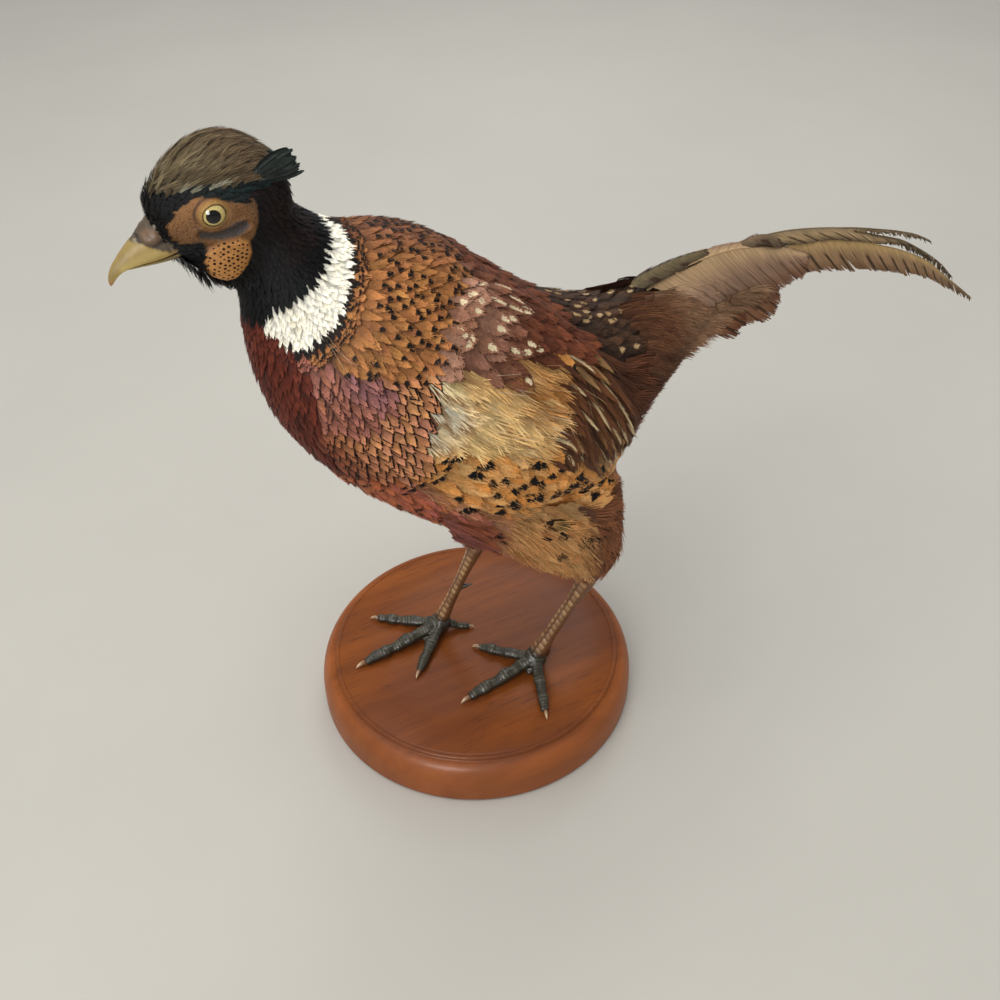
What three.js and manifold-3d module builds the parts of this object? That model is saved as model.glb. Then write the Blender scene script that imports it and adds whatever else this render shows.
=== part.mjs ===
// A mounted cock ring-necked pheasant standing on a turned round wooden base.
// Millimetres, +Z up. The bird faces -Y and its left side is +X.
// The origin is the centre of the base's underside.

import * as THREE from 'three';
import Module from 'manifold-3d';
import { mergeVertices } from 'three/addons/utils/BufferGeometryUtils.js';

const wasm = await Module();
wasm.setup();

// ---------------------------------------------------------------- driving sizes

const GAP = 0.35;              // clearance kept between touching pieces

const BASE_RADIUS = 100;
const BASE_HEIGHT = 30;
const BASE_TOP_RADIUS = 89;    // flat top, inside the bead

const MIDLINE_X = 8;           // the trunk stands this far left of the base's centre
const BODY_SIDES = 26;
const HEAD_SIDES = 20;

const HEAD_YAW = 6;            // degrees the head is turned to the bird's right
const HEAD_PITCH = 21;         // degrees the bill points down
const HEAD_ORIGIN = [5, -123.5, 376];    // the point midway between the eyes

const EYE_RADIUS = 5.9;
const EYE_LEFT = 13.2;         // eyeball centre, out from the head's middle plane
const EYE_BACK = 0;

const TARSUS_RADIUS = 3.3;
const PAD_RADIUS = 5.6;
const FOOT_HEIGHT = 38.5;      // centre of the foot pad above the ground

const TAIL_SLOPE = 54;         // degrees that the two halves of the tail fall away
const PLATE = 0.9;             // thickness of a tail feather's vane

// Trunk and neck sections. Each lies in the plane through its dorsal and ventral
// points ([y, z]) and the left-right axis.
const BODY_SECTIONS = {
  neckTop: { dorsal: [-93, 372], ventral: [-122, 360], halfWidth: 19, x: 3 },
  neck: { dorsal: [-80, 359], ventral: [-115, 341], halfWidth: 21.5, x: 4 },
  collar: { dorsal: [-68, 351], ventral: [-116, 317], halfWidth: 26, x: 5 },
  collarEnd: { dorsal: [-59, 347], ventral: [-116.5, 298], halfWidth: 33, x: 6.5 },
  mantle: { dorsal: [-43, 344], ventral: [-115, 279], halfWidth: 44, x: 8 },
  breast: { dorsal: [-22, 335], ventral: [-108, 254], halfWidth: 54, x: MIDLINE_X },
  keel: { dorsal: [0, 317.5], ventral: [-88, 221], halfWidth: 61, x: MIDLINE_X },
  middle: { dorsal: [20, 299.5], ventral: [-55, 184], halfWidth: 64, x: MIDLINE_X },
  flank: { dorsal: [41, 283], ventral: [-13, 150], halfWidth: 63, x: MIDLINE_X },
  thighs: { dorsal: [64, 270], ventral: [38, 143], halfWidth: 56, x: MIDLINE_X },
  vent: { dorsal: [89, 262], ventral: [80, 172], halfWidth: 43, x: MIDLINE_X },
  rump: { dorsal: [114, 259], ventral: [118, 202], halfWidth: 31, x: MIDLINE_X },
  coverts: { dorsal: [140, 260], ventral: [151, 216], halfWidth: 22, x: MIDLINE_X },
  tailRoot: { dorsal: [166, 263], ventral: [180, 226], halfWidth: 14, x: MIDLINE_X },
};
const SECTION_NAMES = Object.keys(BODY_SECTIONS);
const BELLY_SHARE = 0.52;      // where a section is widest, measured up from its belly

// Head sections across the bill's direction: distance back from the eyes,
// half width, top and bottom, in the head's own frame.
const HEAD_SECTIONS = [
  { back: -24, halfWidth: 6, top: 3, bottom: -13 },
  { back: -21, halfWidth: 9.5, top: 8.5, bottom: -19 },
  { back: -14.5, halfWidth: 13, top: 16.8, bottom: -34 },
  { back: -5, halfWidth: 16, top: 21.5, bottom: -43 },
  { back: 6, halfWidth: 18, top: 23.6, bottom: -46 },
  { back: 17, halfWidth: 19, top: 21.5, bottom: -41 },
  { back: 26, halfWidth: 17.5, top: 14.5, bottom: -29 },
  { back: 32, halfWidth: 11.5, top: 5, bottom: -17 },
  { back: 34.5, halfWidth: 5, top: -2, bottom: -10 },
];

// Legs: sections of the feathered thigh (x, y, z and the half widths across and
// along the body), then the scaled tarsus from ankle to foot pad.
const LEGS = {
  L: {
    thigh: [[36, 24, 200, 22, 34], [42, 29, 176, 24, 43], [46, 31, 156, 22, 43],
      [48, 39, 138, 19, 35], [49.5, 49, 121, 14, 24], [49.7, 52, 111, 9.5, 14],
      [49.5, 50.5, 103.5, 6.5, 7.5]],
    ankle: [49.1, 49.6, 101],
    pad: [36.6, 21, FOOT_HEIGHT],
    toes: { middle: [37.3, -34.8], inner: [1.8, -4.1], outer: [76.9, 1.8], hind: [27, 41] },
    spur: [-6, 9, 2],
  },
  R: {
    thigh: [[-20, 10, 200, 22, 34], [-24, 14, 176, 24, 40], [-24, 16, 156, 22, 38],
      [-19, 17, 138, 18, 29], [-14, 15, 121, 12, 19], [-11.7, 11, 111, 8.5, 12], [-10.7, 8.7, 103.5, 6.2, 7]],
    ankle: [-10.7, 8.2, 101],
    pad: [-22.7, -12.9, FOOT_HEIGHT],
    toes: { middle: [-23.9, -75], inner: [4.7, -47.6], outer: [-57, -46.7], hind: [-11.5, 6.5] },
    spur: [6, 9, 2],
  },
};

// Tail: the ridge line in the middle plane ([y, z]), and for each feather how far
// along the ridge it reaches, its vane widths and its place in the roof.
const TAIL_RIDGE = [[128, 260], [158, 264], [188, 262], [220, 255], [262, 246],
  [306, 229], [352, 202], [390, 176], [421, 150]];
const TAIL_FEATHERS = [
  { name: 'central', reach: { L: 1, R: 0.83 }, outer: 17, inner: 3 },
  { name: 'second', reach: { L: 0.5, R: 0.52 }, outer: 20, inner: 5 },
  { name: 'third', reach: { L: 0.36, R: 0.37 }, outer: 20, inner: 6 },
  { name: 'fourth', reach: { L: 0.25, R: 0.26 }, outer: 18, inner: 6 },
];

// ---------------------------------------------------------------- small tools

const radians = THREE.MathUtils.degToRad;
const lerp = THREE.MathUtils.lerp;

/** Catmull-Rom through rows of numbers, `steps` samples to each span. */
function smoothRows(rows, steps) {
  const last = rows.length - 1;
  const samples = [];
  for (let i = 0; i < last; i++) {
    const before = rows[Math.max(i - 1, 0)];
    const after = rows[Math.min(i + 2, last)];
    for (let k = 0; k < steps; k++) {
      const t = k / steps;
      samples.push(rows[i].map((start, c) => {
        const end = rows[i + 1][c];
        const slopeIn = (end - before[c]) / 2;
        const slopeOut = (after[c] - start) / 2;
        const bend = 3 * (end - start) - 2 * slopeIn - slopeOut;
        const twist = 2 * (start - end) + slopeIn + slopeOut;
        return start + slopeIn * t + bend * t * t + twist * t * t * t;
      }));
    }
  }
  samples.push([...rows[last]]);
  return samples;
}

/** A closed BufferGeometry through rings of equal length, with fanned end caps. */
function loft(rings) {
  const sides = rings[0].length;
  const positions = rings.flat().flatMap((p) => [p.x, p.y, p.z]);
  const index = [];
  for (let r = 0; r < rings.length - 1; r++) {
    for (let s = 0; s < sides; s++) {
      const a = r * sides + s;
      const b = r * sides + ((s + 1) % sides);
      index.push(a, b, a + sides, b, b + sides, a + sides);
    }
  }
  const addCap = (ring, first, outward) => {
    const middle = ring.reduce((sum, p) => sum.add(p), new THREE.Vector3()).divideScalar(sides);
    const centre = positions.length / 3;
    positions.push(middle.x, middle.y, middle.z);
    for (let s = 0; s < sides; s++) {
      const a = first + s;
      const b = first + ((s + 1) % sides);
      index.push(...(outward ? [a, b, centre] : [b, a, centre]));
    }
  };
  addCap(rings[0], 0, false);
  addCap(rings[rings.length - 1], (rings.length - 1) * sides, true);
  const geometry = new THREE.BufferGeometry();
  geometry.setAttribute('position', new THREE.Float32BufferAttribute(positions, 3));
  geometry.setIndex(index);
  return geometry;
}

/** The solid enclosed by a closed geometry, whichever way its faces are wound. */
function solidOf(geometry) {
  const bare = geometry.clone();
  bare.deleteAttribute('normal');
  bare.deleteAttribute('uv');
  const merged = mergeVertices(bare, 1e-4);
  const make = (triVerts) => new wasm.Manifold(new wasm.Mesh({
    numProp: 3,
    vertProperties: new Float32Array(merged.attributes.position.array),
    triVerts,
  }));
  const triangles = new Uint32Array(merged.index.array);
  const solid = make(triangles);
  return solid.volume() > 0 ? solid : make(triangles.slice().reverse());
}

/** A geometry of the largest piece of a solid. */
function geometryOf(solid) {
  const pieces = solid.decompose();
  pieces.sort((a, b) => b.volume() - a.volume());
  const mesh = pieces[0].getMesh();
  const geometry = new THREE.BufferGeometry();
  geometry.setAttribute('position', new THREE.Float32BufferAttribute(mesh.vertProperties, 3));
  geometry.setIndex([...mesh.triVerts]);
  return geometry;
}

function paint(color, roughness) {
  return new THREE.MeshStandardMaterial({ color, roughness, metalness: 0 });
}

const pheasant = new THREE.Group();

function addNode(name, solid, material) {
  const geometry = geometryOf(solid);
  geometry.computeVertexNormals();
  const mesh = new THREE.Mesh(geometry, material);
  mesh.name = name;
  pheasant.add(mesh);
}

const wood = paint(0x7a3b20, 0.4);
const blackFeather = paint(0x17161c, 0.5);
const whiteFeather = paint(0xe6e2d4, 0.8);
const goldFeather = paint(0x9c5a2a, 0.7);
const rumpFeather = paint(0x54301f, 0.7);
const thighFeather = paint(0xa8693a, 0.8);
const wingFeather = paint(0xa58a62, 0.8);
const crownFeather = paint(0x5f5644, 0.8);
const tuftFeather = paint(0x1b3a38, 0.6);
const tailFeather = paint(0x9a8668, 0.7);
const wattleSkin = paint(0xb5713a, 0.6);
const billHorn = paint(0xb59a5a, 0.4);
const legScale = paint(0x8c7656, 0.5);
const toeScale = paint(0x34352f, 0.5);
const clawHorn = paint(0x6d5a42, 0.4);
const eyeGlass = paint(0xd9c98a, 0.05);

// ---------------------------------------------------------------- base

/** Turned disc: flat top, a bead in its edge and a quarter-round moulding. */
function makeBase() {
  const foot = 3;
  const mouldingTop = 27.5;
  const mouldingFoot = 12;
  const mouldingRun = 8;
  const arcSteps = 5;
  const profile = [[0, 0], [BASE_RADIUS - foot, 0], [BASE_RADIUS, foot], [BASE_RADIUS, mouldingFoot]];
  for (let k = 1; k <= arcSteps; k++) {
    const turn = (k / arcSteps) * (Math.PI / 2);
    profile.push([
      BASE_RADIUS - mouldingRun * (1 - Math.cos(turn)),
      mouldingFoot + (mouldingTop - mouldingFoot) * Math.sin(turn),
    ]);
  }
  profile.push([BASE_TOP_RADIUS + 2, BASE_HEIGHT - 0.8]);
  profile.push([BASE_TOP_RADIUS, BASE_HEIGHT], [0, BASE_HEIGHT]);
  const segments = 36;
  const turned = new THREE.LatheGeometry(profile.map(([r, z]) => new THREE.Vector2(r, z)), segments);
  turned.rotateX(Math.PI / 2);
  return solidOf(turned);
}

addNode('base', makeBase(), wood);

// ---------------------------------------------------------------- head

const facing = new THREE.Vector3(-Math.sin(radians(HEAD_YAW)), -Math.cos(radians(HEAD_YAW)), 0);
const headLeft = new THREE.Vector3(Math.cos(radians(HEAD_YAW)), -Math.sin(radians(HEAD_YAW)), 0);
const headBack = facing.clone().multiplyScalar(-Math.cos(radians(HEAD_PITCH)));
headBack.z = Math.sin(radians(HEAD_PITCH));
const headUp = new THREE.Vector3().crossVectors(headLeft, headBack);

/** A point given in the head's own frame, in the object's frame. */
function headPoint(left, back, up) {
  return new THREE.Vector3(...HEAD_ORIGIN)
    .addScaledVector(headLeft, left)
    .addScaledVector(headBack, back)
    .addScaledVector(headUp, up);
}

/** The head's solid, grown on every side by `grow`. */
function makeHead(grow) {
  const steps = 2;
  const rows = smoothRows(
    HEAD_SECTIONS.map((s) => [s.back, s.halfWidth + grow, s.top + grow, s.bottom - grow]),
    steps,
  );
  rows[0][0] -= grow;
  rows[rows.length - 1][0] += grow;
  const waist = 0.62;
  return solidOf(loft(rows.map(([back, halfWidth, top, bottom]) => {
    const level = lerp(bottom, top, waist);
    const ring = [];
    for (let s = 0; s < HEAD_SIDES; s++) {
      const turn = (s / HEAD_SIDES) * 2 * Math.PI;
      const rise = Math.sin(turn);
      const up = level + rise * (rise > 0 ? top - level : level - bottom);
      ring.push(headPoint(halfWidth * Math.cos(turn), back, up));
    }
    return ring;
  })));
}

const headGrown = makeHead(GAP);

/** A ball stretched along the head's axes. */
function headBall([left, back, up], [halfLeft, halfBack, halfUp], segments) {
  const ball = new THREE.SphereGeometry(1, segments, Math.round(segments * 0.7));
  const place = new THREE.Matrix4().makeBasis(
    headLeft.clone().multiplyScalar(halfLeft),
    headBack.clone().multiplyScalar(halfBack),
    headUp.clone().multiplyScalar(halfUp),
  );
  place.setPosition(headPoint(left, back, up));
  ball.applyMatrix4(place);
  return solidOf(ball);
}

/** One half of the bill; `waist` is how high up the section it is widest. */
function makeMandible(rows, sides, waist) {
  return solidOf(loft(smoothRows(rows, 2).map(([back, halfWidth, top, bottom]) => {
    const level = lerp(bottom, top, waist);
    const ring = [];
    for (let s = 0; s < sides; s++) {
      const turn = (s / sides) * 2 * Math.PI;
      const rise = Math.sin(turn);
      const up = level + rise * (rise > 0 ? top - level : level - bottom);
      ring.push(headPoint(halfWidth * Math.cos(turn), back, up));
    }
    return ring;
  })));
}

const WATTLE_CENTRE = [10.2, -5, -20.8];
const WATTLE_HALF_SIZES = [6.4, 10.4, 12];
const BALL_SEGMENTS = 10;
// Ear tufts: rows of left, back, up, half height and half thickness. The right one
// lies lower against the nape.
const EAR_TUFTS = {
  L: [[16, 20, 3, 5, 1.6], [15.4, 27, 2.4, 5.4, 2], [14.4, 34, 0.8, 5.6, 1.6], [13.6, 38.6, -0.6, 4.2, 0.9]],
  R: [[16, 19, -3, 4.6, 1.6], [15.6, 26, -5, 5, 2], [14.2, 32, -8, 4.6, 1.6], [12.6, 36, -11, 3.4, 0.9]],
};

let head = makeHead(0);
let headRoom = headGrown;
for (const [side, sign] of [['L', 1], ['R', -1]]) {
  const centre = [sign * EYE_LEFT, EYE_BACK, 0];
  const radius = EYE_RADIUS;
  addNode(`eye_${side}`, headBall(centre, [radius, radius, radius], BALL_SEGMENTS), eyeGlass);
  const socket = radius + GAP;
  head = head.subtract(headBall(centre, [socket, socket, socket], BALL_SEGMENTS));

  const [wattleLeft, wattleBack, wattleUp] = WATTLE_CENTRE;
  const wattleAt = [sign * wattleLeft, wattleBack, wattleUp];
  const wattle = headBall(wattleAt, WATTLE_HALF_SIZES, BALL_SEGMENTS);
  addNode(`wattle_${side}`, wattle.subtract(headGrown), wattleSkin);
  headRoom = headRoom.add(headBall(wattleAt, WATTLE_HALF_SIZES.map((half) => half + GAP), BALL_SEGMENTS));

  const tuft = solidOf(loft(smoothRows(EAR_TUFTS[side], 2).map(([left, back, up, tall, thick]) => {
    const ring = [];
    for (let s = 0; s < 8; s++) {
      const turn = (s / 8) * 2 * Math.PI;
      ring.push(headPoint(sign * (left + thick * Math.cos(turn)), back, up + tall * Math.sin(turn)));
    }
    return ring;
  })));
  addNode(`ear_tuft_${side}`, tuft.subtract(headGrown), tuftFeather);
}
addNode('head', head, crownFeather);

// Bill rows: back, half width, ridge and edge heights. The upper half arches over its
// cutting edge; the lower half hangs as a shallow keel from it.
const UPPER_BILL = [[-15, 8.2, 4, -12], [-22, 8, 4.2, -12], [-30, 6.8, 3, -11.4],
  [-37, 5.2, 0.4, -10.4], [-44.5, 3.1, -3.5, -9.6], [-50.2, 0.9, -7.8, -9.6]];
const LOWER_BILL = [[-14, 6.6, -12.4, -17.5], [-22, 6.1, -12.3, -16.8], [-31, 4.4, -11.7, -14.8],
  [-39, 2.2, -10.8, -12.6]];
const growMandible = (rows) => rows.map(([back, halfWidth, ridge, edge]) =>
  [back, halfWidth + GAP, ridge + GAP, edge - GAP]);

const upperBill = makeMandible(UPPER_BILL, 10, 0.08);
const upperRoom = makeMandible(growMandible(UPPER_BILL), 10, 0.08);
const lowerBill = makeMandible(LOWER_BILL, 10, 0.8);
addNode('bill_upper', upperBill.subtract(headGrown), billHorn);
addNode('bill_lower', lowerBill.subtract(headGrown).subtract(upperRoom), billHorn);

// ---------------------------------------------------------------- neck, collar, trunk, rump

const BODY_STEPS = 2;

const bodyRows = smoothRows(SECTION_NAMES.map((name) => {
  const { dorsal, ventral, halfWidth, x } = BODY_SECTIONS[name];
  return [...dorsal, ...ventral, halfWidth, x];
}), BODY_STEPS);

/** One ring of the body, grown outwards by `grow`. */
function bodyRing([dorsalY, dorsalZ, ventralY, ventralZ, halfWidth, x], grow) {
  const upright = new THREE.Vector2(dorsalY - ventralY, dorsalZ - ventralZ).normalize();
  const dorsal = new THREE.Vector2(dorsalY, dorsalZ).addScaledVector(upright, grow);
  const ventral = new THREE.Vector2(ventralY, ventralZ).addScaledVector(upright, -grow);
  const middle = ventral.clone().lerp(dorsal, BELLY_SHARE);
  const ring = [];
  for (let s = 0; s < BODY_SIDES; s++) {
    const turn = (s / BODY_SIDES) * 2 * Math.PI;
    const rise = Math.sin(turn);
    const level = middle.clone().lerp(rise > 0 ? dorsal : ventral, Math.abs(rise));
    ring.push(new THREE.Vector3(x + (halfWidth + grow) * Math.cos(turn), level.x, level.y));
  }
  return ring;
}

/** The body between two named sections, with half a gap left at each cut end. */
function makeBody(from, to, grow = 0) {
  const first = SECTION_NAMES.indexOf(from) * BODY_STEPS;
  const last = SECTION_NAMES.indexOf(to) * BODY_STEPS;
  const rows = bodyRows.slice(first, last + 1).map((row) => [...row]);
  const trim = (row, next) => {
    const spacing = Math.min(
      Math.hypot(next[0] - row[0], next[1] - row[1]),
      Math.hypot(next[2] - row[2], next[3] - row[3]),
    );
    return row.map((value, c) => lerp(value, next[c], GAP / 2 / spacing));
  };
  rows[0] = trim(rows[0], rows[1]);
  rows[rows.length - 1] = trim(rows[rows.length - 1], rows[rows.length - 2]);
  return solidOf(loft(rows.map((row) => bodyRing(row, grow))));
}

addNode('neck', makeBody('neckTop', 'collar').subtract(headRoom), blackFeather);
addNode('collar', makeBody('collar', 'collarEnd'), whiteFeather);
const trunk = makeBody('collarEnd', 'vent');
addNode('trunk', trunk, goldFeather);
const rump = makeBody('vent', 'tailRoot');
addNode('rump', rump, rumpFeather);

const bodyGrown = makeBody('collar', 'tailRoot', GAP + 0.2);

// ---------------------------------------------------------------- wings

/** The folded wing: a shell on the body's side inside a leaf-shaped outline. */
function makeWing(sign) {
  const depth = 3.6;
  const leaf = new THREE.Shape();
  leaf.moveTo(-54, 278);
  leaf.bezierCurveTo(-54, 306, -38, 324, -14, 318);
  leaf.bezierCurveTo(14, 308, 52, 272, 64, 236);
  leaf.bezierCurveTo(68, 222, 71, 210, 71, 200);
  leaf.bezierCurveTo(52, 202, 20, 214, -6, 236);
  leaf.bezierCurveTo(-26, 250, -44, 256, -54, 278);
  const reach = 90;
  const block = new THREE.ExtrudeGeometry(leaf, { depth: reach, bevelEnabled: false, curveSegments: 5 });
  // The shape's own x and y become the object's y and z; its depth runs along +x.
  const place = new THREE.Matrix4().makeBasis(
    new THREE.Vector3(0, 1, 0),
    new THREE.Vector3(0, 0, 1),
    new THREE.Vector3(1, 0, 0),
  );
  place.setPosition(sign > 0 ? MIDLINE_X : MIDLINE_X - reach, 0, 0);
  block.applyMatrix4(place);
  const shell = makeBody('collar', 'tailRoot', depth);
  return shell.intersect(solidOf(block)).subtract(bodyGrown);
}

const wings = { L: makeWing(1), R: makeWing(-1) };
addNode('wing_L', wings.L, wingFeather);
addNode('wing_R', wings.R, wingFeather);

// ---------------------------------------------------------------- legs

/** A tube through rows of [x, y, z, radius], with flat ends. */
function makeTube(rows, sides, steps) {
  const samples = smoothRows(rows, steps);
  const points = samples.map(([x, y, z]) => new THREE.Vector3(x, y, z));
  return solidOf(loft(samples.map((row, i) => {
    const before = points[Math.max(i - 1, 0)];
    const after = points[Math.min(i + 1, points.length - 1)];
    const along = after.clone().sub(before).normalize();
    const across = new THREE.Vector3(along.z, 0, -along.x);
    if (Math.abs(along.z) < 0.5) {
      across.set(-along.y, along.x, 0);
    }
    across.normalize();
    const over = new THREE.Vector3().crossVectors(along, across);
    return Array.from({ length: sides }, (_, s) => {
      const turn = (s / sides) * 2 * Math.PI;
      return points[i].clone()
        .addScaledVector(across, row[3] * Math.cos(turn))
        .addScaledVector(over, row[3] * Math.sin(turn));
    });
  })));
}

/** The feathered thigh, a stack of level ovals that ends just above the ankle. */
function makeThigh(rows) {
  const sides = 12;
  return solidOf(loft(smoothRows(rows, 2).map(([x, y, z, across, along]) =>
    Array.from({ length: sides }, (_, s) => {
      const turn = -(s / sides) * 2 * Math.PI;
      return new THREE.Vector3(x + across * Math.cos(turn), y + along * Math.sin(turn), z);
    }))));
}

/** Toe and claw from the pad to a tip on the base: knuckled, lying on the wood. */
function makeToe(pad, [tipX, tipY], rootRadius, rootLift) {
  const length = Math.hypot(tipX - pad[0], tipY - pad[1]);
  const clawShare = 0.1 + 4 / length;
  const clawGap = (2 * GAP) / length;
  const point = (share, radius, lift) => [
    lerp(pad[0], tipX, share),
    lerp(pad[1], tipY, share),
    BASE_HEIGHT + GAP + radius + lift,
    radius,
  ];
  const end = 1 - clawShare;
  const toeRows = [
    point(0, rootRadius, rootLift),
    point(end * 0.33, rootRadius * 0.86, rootLift * 0.45),
    point(end * 0.45, rootRadius * 0.98, rootLift * 0.3),
    point(end * 0.66, rootRadius * 0.74, 0.2),
    point(end * 0.78, rootRadius * 0.86, 0.1),
    point(end, rootRadius * 0.6, 0.1),
  ];
  const clawRows = [
    point(end + clawGap, rootRadius * 0.5, 0.3),
    point(end + clawShare * 0.55, rootRadius * 0.34, 1.1),
    point(1, 0.35, 0),
  ];
  return { toe: makeTube(toeRows, 8, 1), claw: makeTube(clawRows, 6, 1) };
}

function addLeg(side, { thigh, ankle, pad, toes, spur }) {
  const wing = wings[side];
  const upper = makeThigh(thigh).subtract(bodyGrown).subtract(wing.translate([0, 0, -0.6]));
  addNode(`thigh_${side}`, upper.subtract(wing), thighFeather);

  const shin = (grow) => {
    const at = (share, radius) => [
      lerp(ankle[0], pad[0], share),
      lerp(ankle[1], pad[1], share),
      lerp(ankle[2], pad[2], share),
      radius + grow,
    ];
    const bone = makeTube([
      at(grow ? -0.01 : 0, 5), at(0.12, 4.3), at(0.35, TARSUS_RADIUS), at(0.7, TARSUS_RADIUS + 0.2),
      at(0.9, 4.6), at(1, 4.8),
    ], 8, 1);
    const ball = new THREE.SphereGeometry(PAD_RADIUS + grow, 10, 7);
    ball.translate(...pad);
    return bone.add(solidOf(ball));
  };
  const shinGrown = shin(GAP);
  addNode(`tarsus_${side}`, shin(0), legScale);

  const midShin = 0.52;
  const root = [0, 1, 2].map((c) => lerp(ankle[c], pad[c], midShin));
  const tip = root.map((value, c) => value + spur[c]);
  const spurSolid = makeTube([
    [...root, 2.4],
    [...root.map((value, c) => lerp(value, tip[c], 0.6)), 1.7],
    [...tip, 0.4],
  ], 6, 2);
  addNode(`spur_${side}`, spurSolid.subtract(shinGrown), clawHorn);

  const taken = [shinGrown];
  for (const [name, tipPlace] of Object.entries(toes)) {
    const hind = name === 'hind';
    const middle = name === 'middle';
    const radius = hind ? 2.6 : middle ? 4 : 3.5;
    const { toe, claw } = makeToe(pad, tipPlace, radius, hind ? 8 : 4);
    let clear = toe;
    for (const neighbour of taken) {
      clear = clear.subtract(neighbour);
    }
    addNode(`toe_${name}_${side}`, clear, toeScale);
    addNode(`claw_${name}_${side}`, claw, clawHorn);
    const room = makeToe(pad, tipPlace, radius + GAP, hind ? 8 : 4).toe;
    taken.push(room.translate([0, 0, -GAP]));
  }
}

addLeg('L', LEGS.L);
addLeg('R', LEGS.R);

// ---------------------------------------------------------------- tail

const ridgeRows = smoothRows(TAIL_RIDGE, 3);

/** A point a share of the way along the tail's ridge, and the ridge's upright there. */
function ridgeAt(share) {
  const place = share * (ridgeRows.length - 1);
  const low = Math.min(Math.floor(place), ridgeRows.length - 2);
  const [y, z] = ridgeRows[low].map((value, c) => lerp(value, ridgeRows[low + 1][c], place - low));
  const run = new THREE.Vector2(...ridgeRows[low + 1]).sub(new THREE.Vector2(...ridgeRows[low])).normalize();
  return { y, z, uprightY: -run.y, uprightZ: run.x };
}

/** One tail feather: a thin vane lying in its half of the roof-shaped tail. */
function makeTailFeather(order, sign, { reach, outer, inner }) {
  const steps = 9;
  const slope = radians(TAIL_SLOPE);
  const spread = 6.5;
  const layer = 1.7;
  const ridgeHalf = 3.6;
  const rings = [];
  for (let k = 0; k <= steps; k++) {
    const share = k / steps;
    const { y, z, uprightY, uprightZ } = ridgeAt(share * reach);
    const fullness = Math.min(1, 0.3 + share * 3.2) * Math.sqrt(Math.max(1 - share ** 4, 0.012));
    const opening = Math.min(1, 0.35 + share * reach * 5);
    const place = (down, outward) => {
      const slide = order * spread * opening + down;
      const across = ridgeHalf + slide * Math.cos(slope) + outward * Math.sin(slope);
      const rise = -slide * Math.sin(slope) + (outward - order * layer) * Math.cos(slope);
      const inward = order * layer * Math.sin(slope);
      const x = MIDLINE_X + sign * (across - inward);
      return new THREE.Vector3(x, y + rise * uprightY, z + rise * uprightZ);
    };
    const half = PLATE / 2;
    const down = outer * fullness;
    const up = -inner * fullness;
    rings.push([place(up, -half), place(0, -half), place(down, -half),
      place(down, half), place(0, half + 0.2), place(up, half)]);
  }
  return solidOf(loft(rings));
}

TAIL_FEATHERS.forEach((feather, order) => {
  for (const [side, sign] of [['L', 1], ['R', -1]]) {
    const solid = makeTailFeather(order, sign, { ...feather, reach: feather.reach[side] });
    addNode(`tail_${feather.name}_${side}`, solid.subtract(bodyGrown), tailFeather);
  }
});

export default pheasant;
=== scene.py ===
"""A mounted cock ring-necked pheasant on a turned round base: its looks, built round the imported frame.

Sizes are in millimetres and become metres in `new_piece`. +Z is up, the bird faces -Y, its left is +X.
"""

import math

import bmesh
import bpy
import numpy as np
from mathutils import Matrix, Vector
from mathutils.bvhtree import BVHTree


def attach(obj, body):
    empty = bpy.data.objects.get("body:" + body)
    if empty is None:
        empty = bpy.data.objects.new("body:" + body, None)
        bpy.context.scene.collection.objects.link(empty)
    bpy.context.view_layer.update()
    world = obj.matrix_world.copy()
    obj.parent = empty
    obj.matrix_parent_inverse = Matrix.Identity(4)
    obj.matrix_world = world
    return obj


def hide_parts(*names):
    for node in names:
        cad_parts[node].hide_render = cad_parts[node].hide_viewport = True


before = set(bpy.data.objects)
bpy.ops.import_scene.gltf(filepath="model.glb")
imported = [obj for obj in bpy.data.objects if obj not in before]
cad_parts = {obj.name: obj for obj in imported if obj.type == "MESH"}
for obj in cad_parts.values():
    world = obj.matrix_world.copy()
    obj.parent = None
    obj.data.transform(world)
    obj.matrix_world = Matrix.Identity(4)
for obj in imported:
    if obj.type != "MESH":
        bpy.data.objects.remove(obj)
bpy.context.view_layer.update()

MM = 0.001
dice = np.random.default_rng(11)

# ---------------------------------------------------------------- driving sizes

BASE_RADIUS = 100.0
BASE_HEIGHT = 30.0
BASE_TOP_RADIUS = 89.0

# Body sections: dorsal [y, z], ventral [y, z], half width, x.
BODY_SECTIONS = {
    "neckTop": (-93, 372, -122, 360, 19, 3),
    "neck": (-80, 359, -115, 341, 21.5, 4),
    "collar": (-68, 351, -116, 317, 26, 5),
    "collarEnd": (-59, 347, -116.5, 298, 33, 6.5),
    "mantle": (-43, 344, -115, 279, 44, 8),
    "breast": (-22, 335, -108, 254, 54, 8),
    "keel": (0, 317.5, -88, 221, 61, 8),
    "middle": (20, 299.5, -55, 184, 64, 8),
    "flank": (41, 283, -13, 150, 63, 8),
    "thighs": (64, 270, 38, 143, 56, 8),
    "vent": (89, 262, 80, 172, 43, 8),
    "rump": (114, 259, 118, 202, 31, 8),
    "coverts": (140, 260, 151, 216, 22, 8),
    "tailRoot": (166, 263, 180, 226, 14, 8),
}
MIDLINE_X = 8.0
BELLY_SHARE = 0.52

HEAD_YAW = math.radians(6)
HEAD_PITCH = math.radians(21)
HEAD_ORIGIN = np.array([5, -123.5, 376])
EYE_CENTRE = np.array([13.2, 0, 0])      # left, back, up, in the head's frame
EYE_RADIUS = 5.9

TAIL_RIDGE = ((128, 260), (158, 264), (188, 262), (220, 255), (262, 246),
              (306, 229), (352, 202), (390, 176), (421, 150))
TAIL_SLOPE = math.radians(54)

# ---------------------------------------------------------------- small tools


def unit(vectors):
    return vectors / np.maximum(np.linalg.norm(vectors, axis=-1, keepdims=True), 1e-9)


def dot(a, b):
    return (a * b).sum(axis=-1)


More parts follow.
